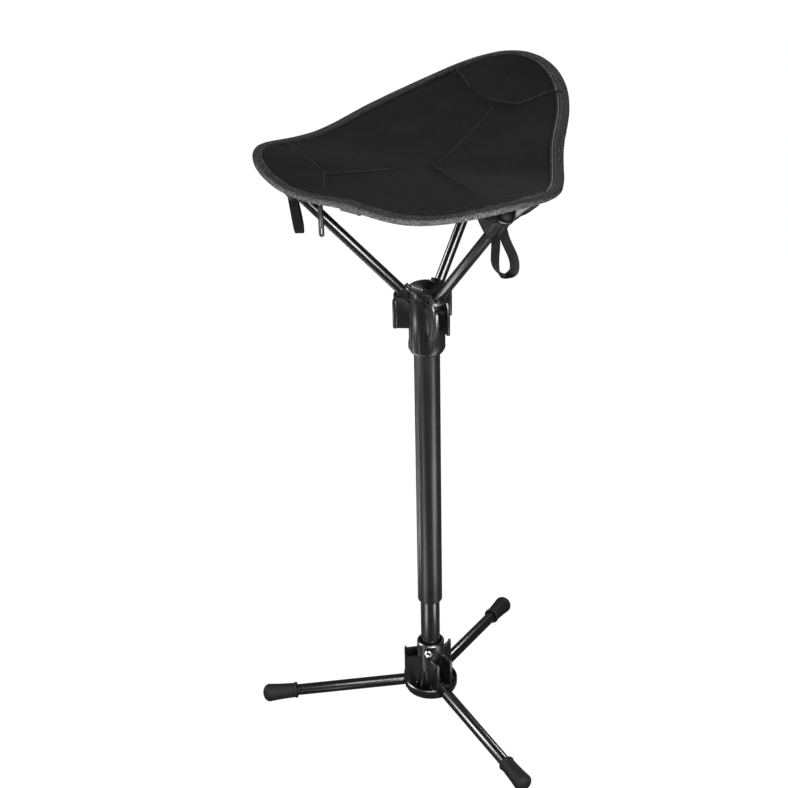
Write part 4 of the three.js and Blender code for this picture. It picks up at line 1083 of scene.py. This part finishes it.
def pocketHems(side, size):
    across = [index / size["hemSteps"] - 1 for index in range(2 * size["hemSteps"] + 1)]
    for stem, edge, inner, width in (("pocketHem_", 1, 0.93, size["hemWidth"]),
                                     ("pocketMouth_", 0, 0.07, size["lineWidth"])):
        line = [pocketPoint(side, edge, place, size) for place in across]
        inward = [pocketPoint(side, inner, place, size) - spot for place, spot in zip(across, line)]
        mesh = ribbon(stem + side, line, inward, width, size["hemThickness"], sideFrame(side)[0])
        addObject(stem + side, mesh, "wovenWebbing", "seat")


for side in sides:
    cornerPocket(side, pocketSizes)
    pocketHems(side, pocketSizes)

# Pull loops: flat webbing, both ends sewn into the pocket, with a twist of its own in each
loopSizes = {
    "setback": 28, "drop": 54, "half": {"left": 8, "rear": 9, "front": 11}, "neck": 4.5, "start": 4,
    "lean": {"left": 0.0, "rear": 0.03, "front": 0.12}, "width": 10, "thickness": 1.4,
    "swell": (1.2, 0.4),  # added to half the neck's width, at this share of the drop
    "side": (0.96, 0.85),  # share of half the loop's width, at this share of the drop
    "bendSteps": 6, "pathSteps": 5,
    "hang": {"left": -8, "rear": 10, "front": 10},
    # the ribbon's turn about its own length, at these shares of it
    "twistAt": (0, 0.2, 0.36, 0.5, 0.63, 0.8, 1),
    "twist": {"left": (6, 16, 22, 4, -10, -4, 4), "rear": (-8, -20, -12, 0, 14, 22, 10),
              "front": (-50, -30, 30, 14, 44, 60, 50)},
}


def pullLoop(side, size):
    hang, half = radians(size["hang"][side]), size["half"][side]
    origin = armPoint(side, tubeSizes["armLengths"][side] - size["setback"])
    low, neck = size["drop"] - half, size["neck"]
    wider, wideAt = size["swell"]
    full, fullAt = size["side"]
    strand = [(neck, size["start"]), (neck + wider, low * wideAt), (half * full, low * fullAt)]
    bend = [pi * step / size["bendSteps"] for step in range(1, size["bendSteps"])]
    knots = [(-across, down) for across, down in strand]
    knots += [(-half * cos(angle), low + half * sin(angle)) for angle in bend] + strand[::-1]
    lean = size["lean"][side]
    path = smoothPath([(across + lean * down, down) for across, down in knots], size["pathSteps"])
    down = Vector((sin(hang), 0, -cos(hang)))
    sideways, outward = Vector((0, 1, 0)), Vector((cos(hang), 0, sin(hang)))
    spots = [origin + sideways * spot.x + down * spot.y for spot in path]
    wides = []
    for index in range(len(spots)):
        spin = radians(np.interp(index / (len(spots) - 1), size["twistAt"], size["twist"][side]))
        wides.append(Matrix.Rotation(spin, 3, tangentAt(spots, index)) @ outward)
    mesh = ribbon("pullLoop_" + side, spots, wides, size["width"], size["thickness"], sideFrame(side)[0])
    addObject("pullLoop_" + side, mesh, "wovenWebbing", "seat", ["pull_loop_" + side])


for side in sides:
    pullLoop(side, loopSizes)
print("pockets and loops made")

# Zip under the seat: two tape halves and a row of teeth between them
zipSizes = {"start": 156, "end": 186, "inset": 12, "width": 16, "thickness": 0.9, "under": 0.6, "gap": 3.6,
            "tooth": {"pitch": 2.6, "length": 1.5, "width": 3.6, "height": 1.2}, "steps": 40,
            "toothSteps": 60}


def zipSpot(angle, inset, drop):
    spot = rimInset(angle, seatSizes["bindingWidth"] + inset)
    return Vector((spot.x, spot.y, clothUnder(spot.x, spot.y) - drop))


def zipTape(size):
    points, faces, span = [], [], size["end"] - size["start"]
    near, far, thickness = size["gap"] / 2, size["width"] / 2, size["thickness"]
    for half in (-1, 1):
        rings, base = size["steps"] + 1, len(points)
        for step in range(rings):
            angle = size["start"] + span * step / size["steps"]
            for edge, drop in ((near, 0), (far, 0), (far, thickness), (near, thickness)):
                points.append(zipSpot(angle, size["inset"] + half * edge, size["under"] + drop) * mm)
        faces += ringFaces(rings, 4, base=base) + endFaces(rings, 4, base)
    mesh = tidied(meshFrom("zipTape", points, faces))
    giveUv(mesh)
    smoothByAngle(mesh, 40)
    addObject("zipTape", mesh, "wovenWebbing", "seat", ["zip_tape"])
    steps = size["toothSteps"]
    row = [zipSpot(size["start"] + span * step / steps, size["inset"], size["under"] + thickness / 2) * mm
           for step in range(steps + 1)]
    stitchRow("zipTeeth", row, size["tooth"])


zipTape(zipSizes)

# The slider's throat: an upper plate against the tape and a neck down to the slider's lower plate
throatSizes = {"at": 159.5, "plate": (11, 8, 1), "neck": (6, 4.5), "foot": 712.6}


def sliderThroat(size, tape):
    above = zipSpot(size["at"], tape["inset"], tape["under"] + tape["thickness"])
    before, after = (zipSpot(size["at"] + step, tape["inset"], 0) for step in (-1, 1))
    along = (after - before).normalized()
    across = along.cross(Vector((0, 0, 1))).normalized()
    wide, deep, thick = size["plate"]
    neckWide, neckDeep = size["neck"]
    levels = [(wide, deep, above.z), (wide, deep, above.z - thick), (neckWide, neckDeep, above.z - thick),
              (neckWide, neckDeep, size["foot"])]
    corners = [(-0.5, -0.5), (0.5, -0.5), (0.5, 0.5), (-0.5, 0.5)]
    points = []
    for levelWide, levelDeep, height in levels:
        for u, v in corners:
            spot = above + along * u * levelWide + across * v * levelDeep
            points.append((spot.x * mm, spot.y * mm, height * mm))
    mesh = tidied(meshFrom("sliderThroat", points, endFaces(4, 4) + ringFaces(4, 4)))
    addObject("sliderThroat", mesh, "blackZinc", "seat")


sliderThroat(throatSizes, zipSizes)
print("zip made")
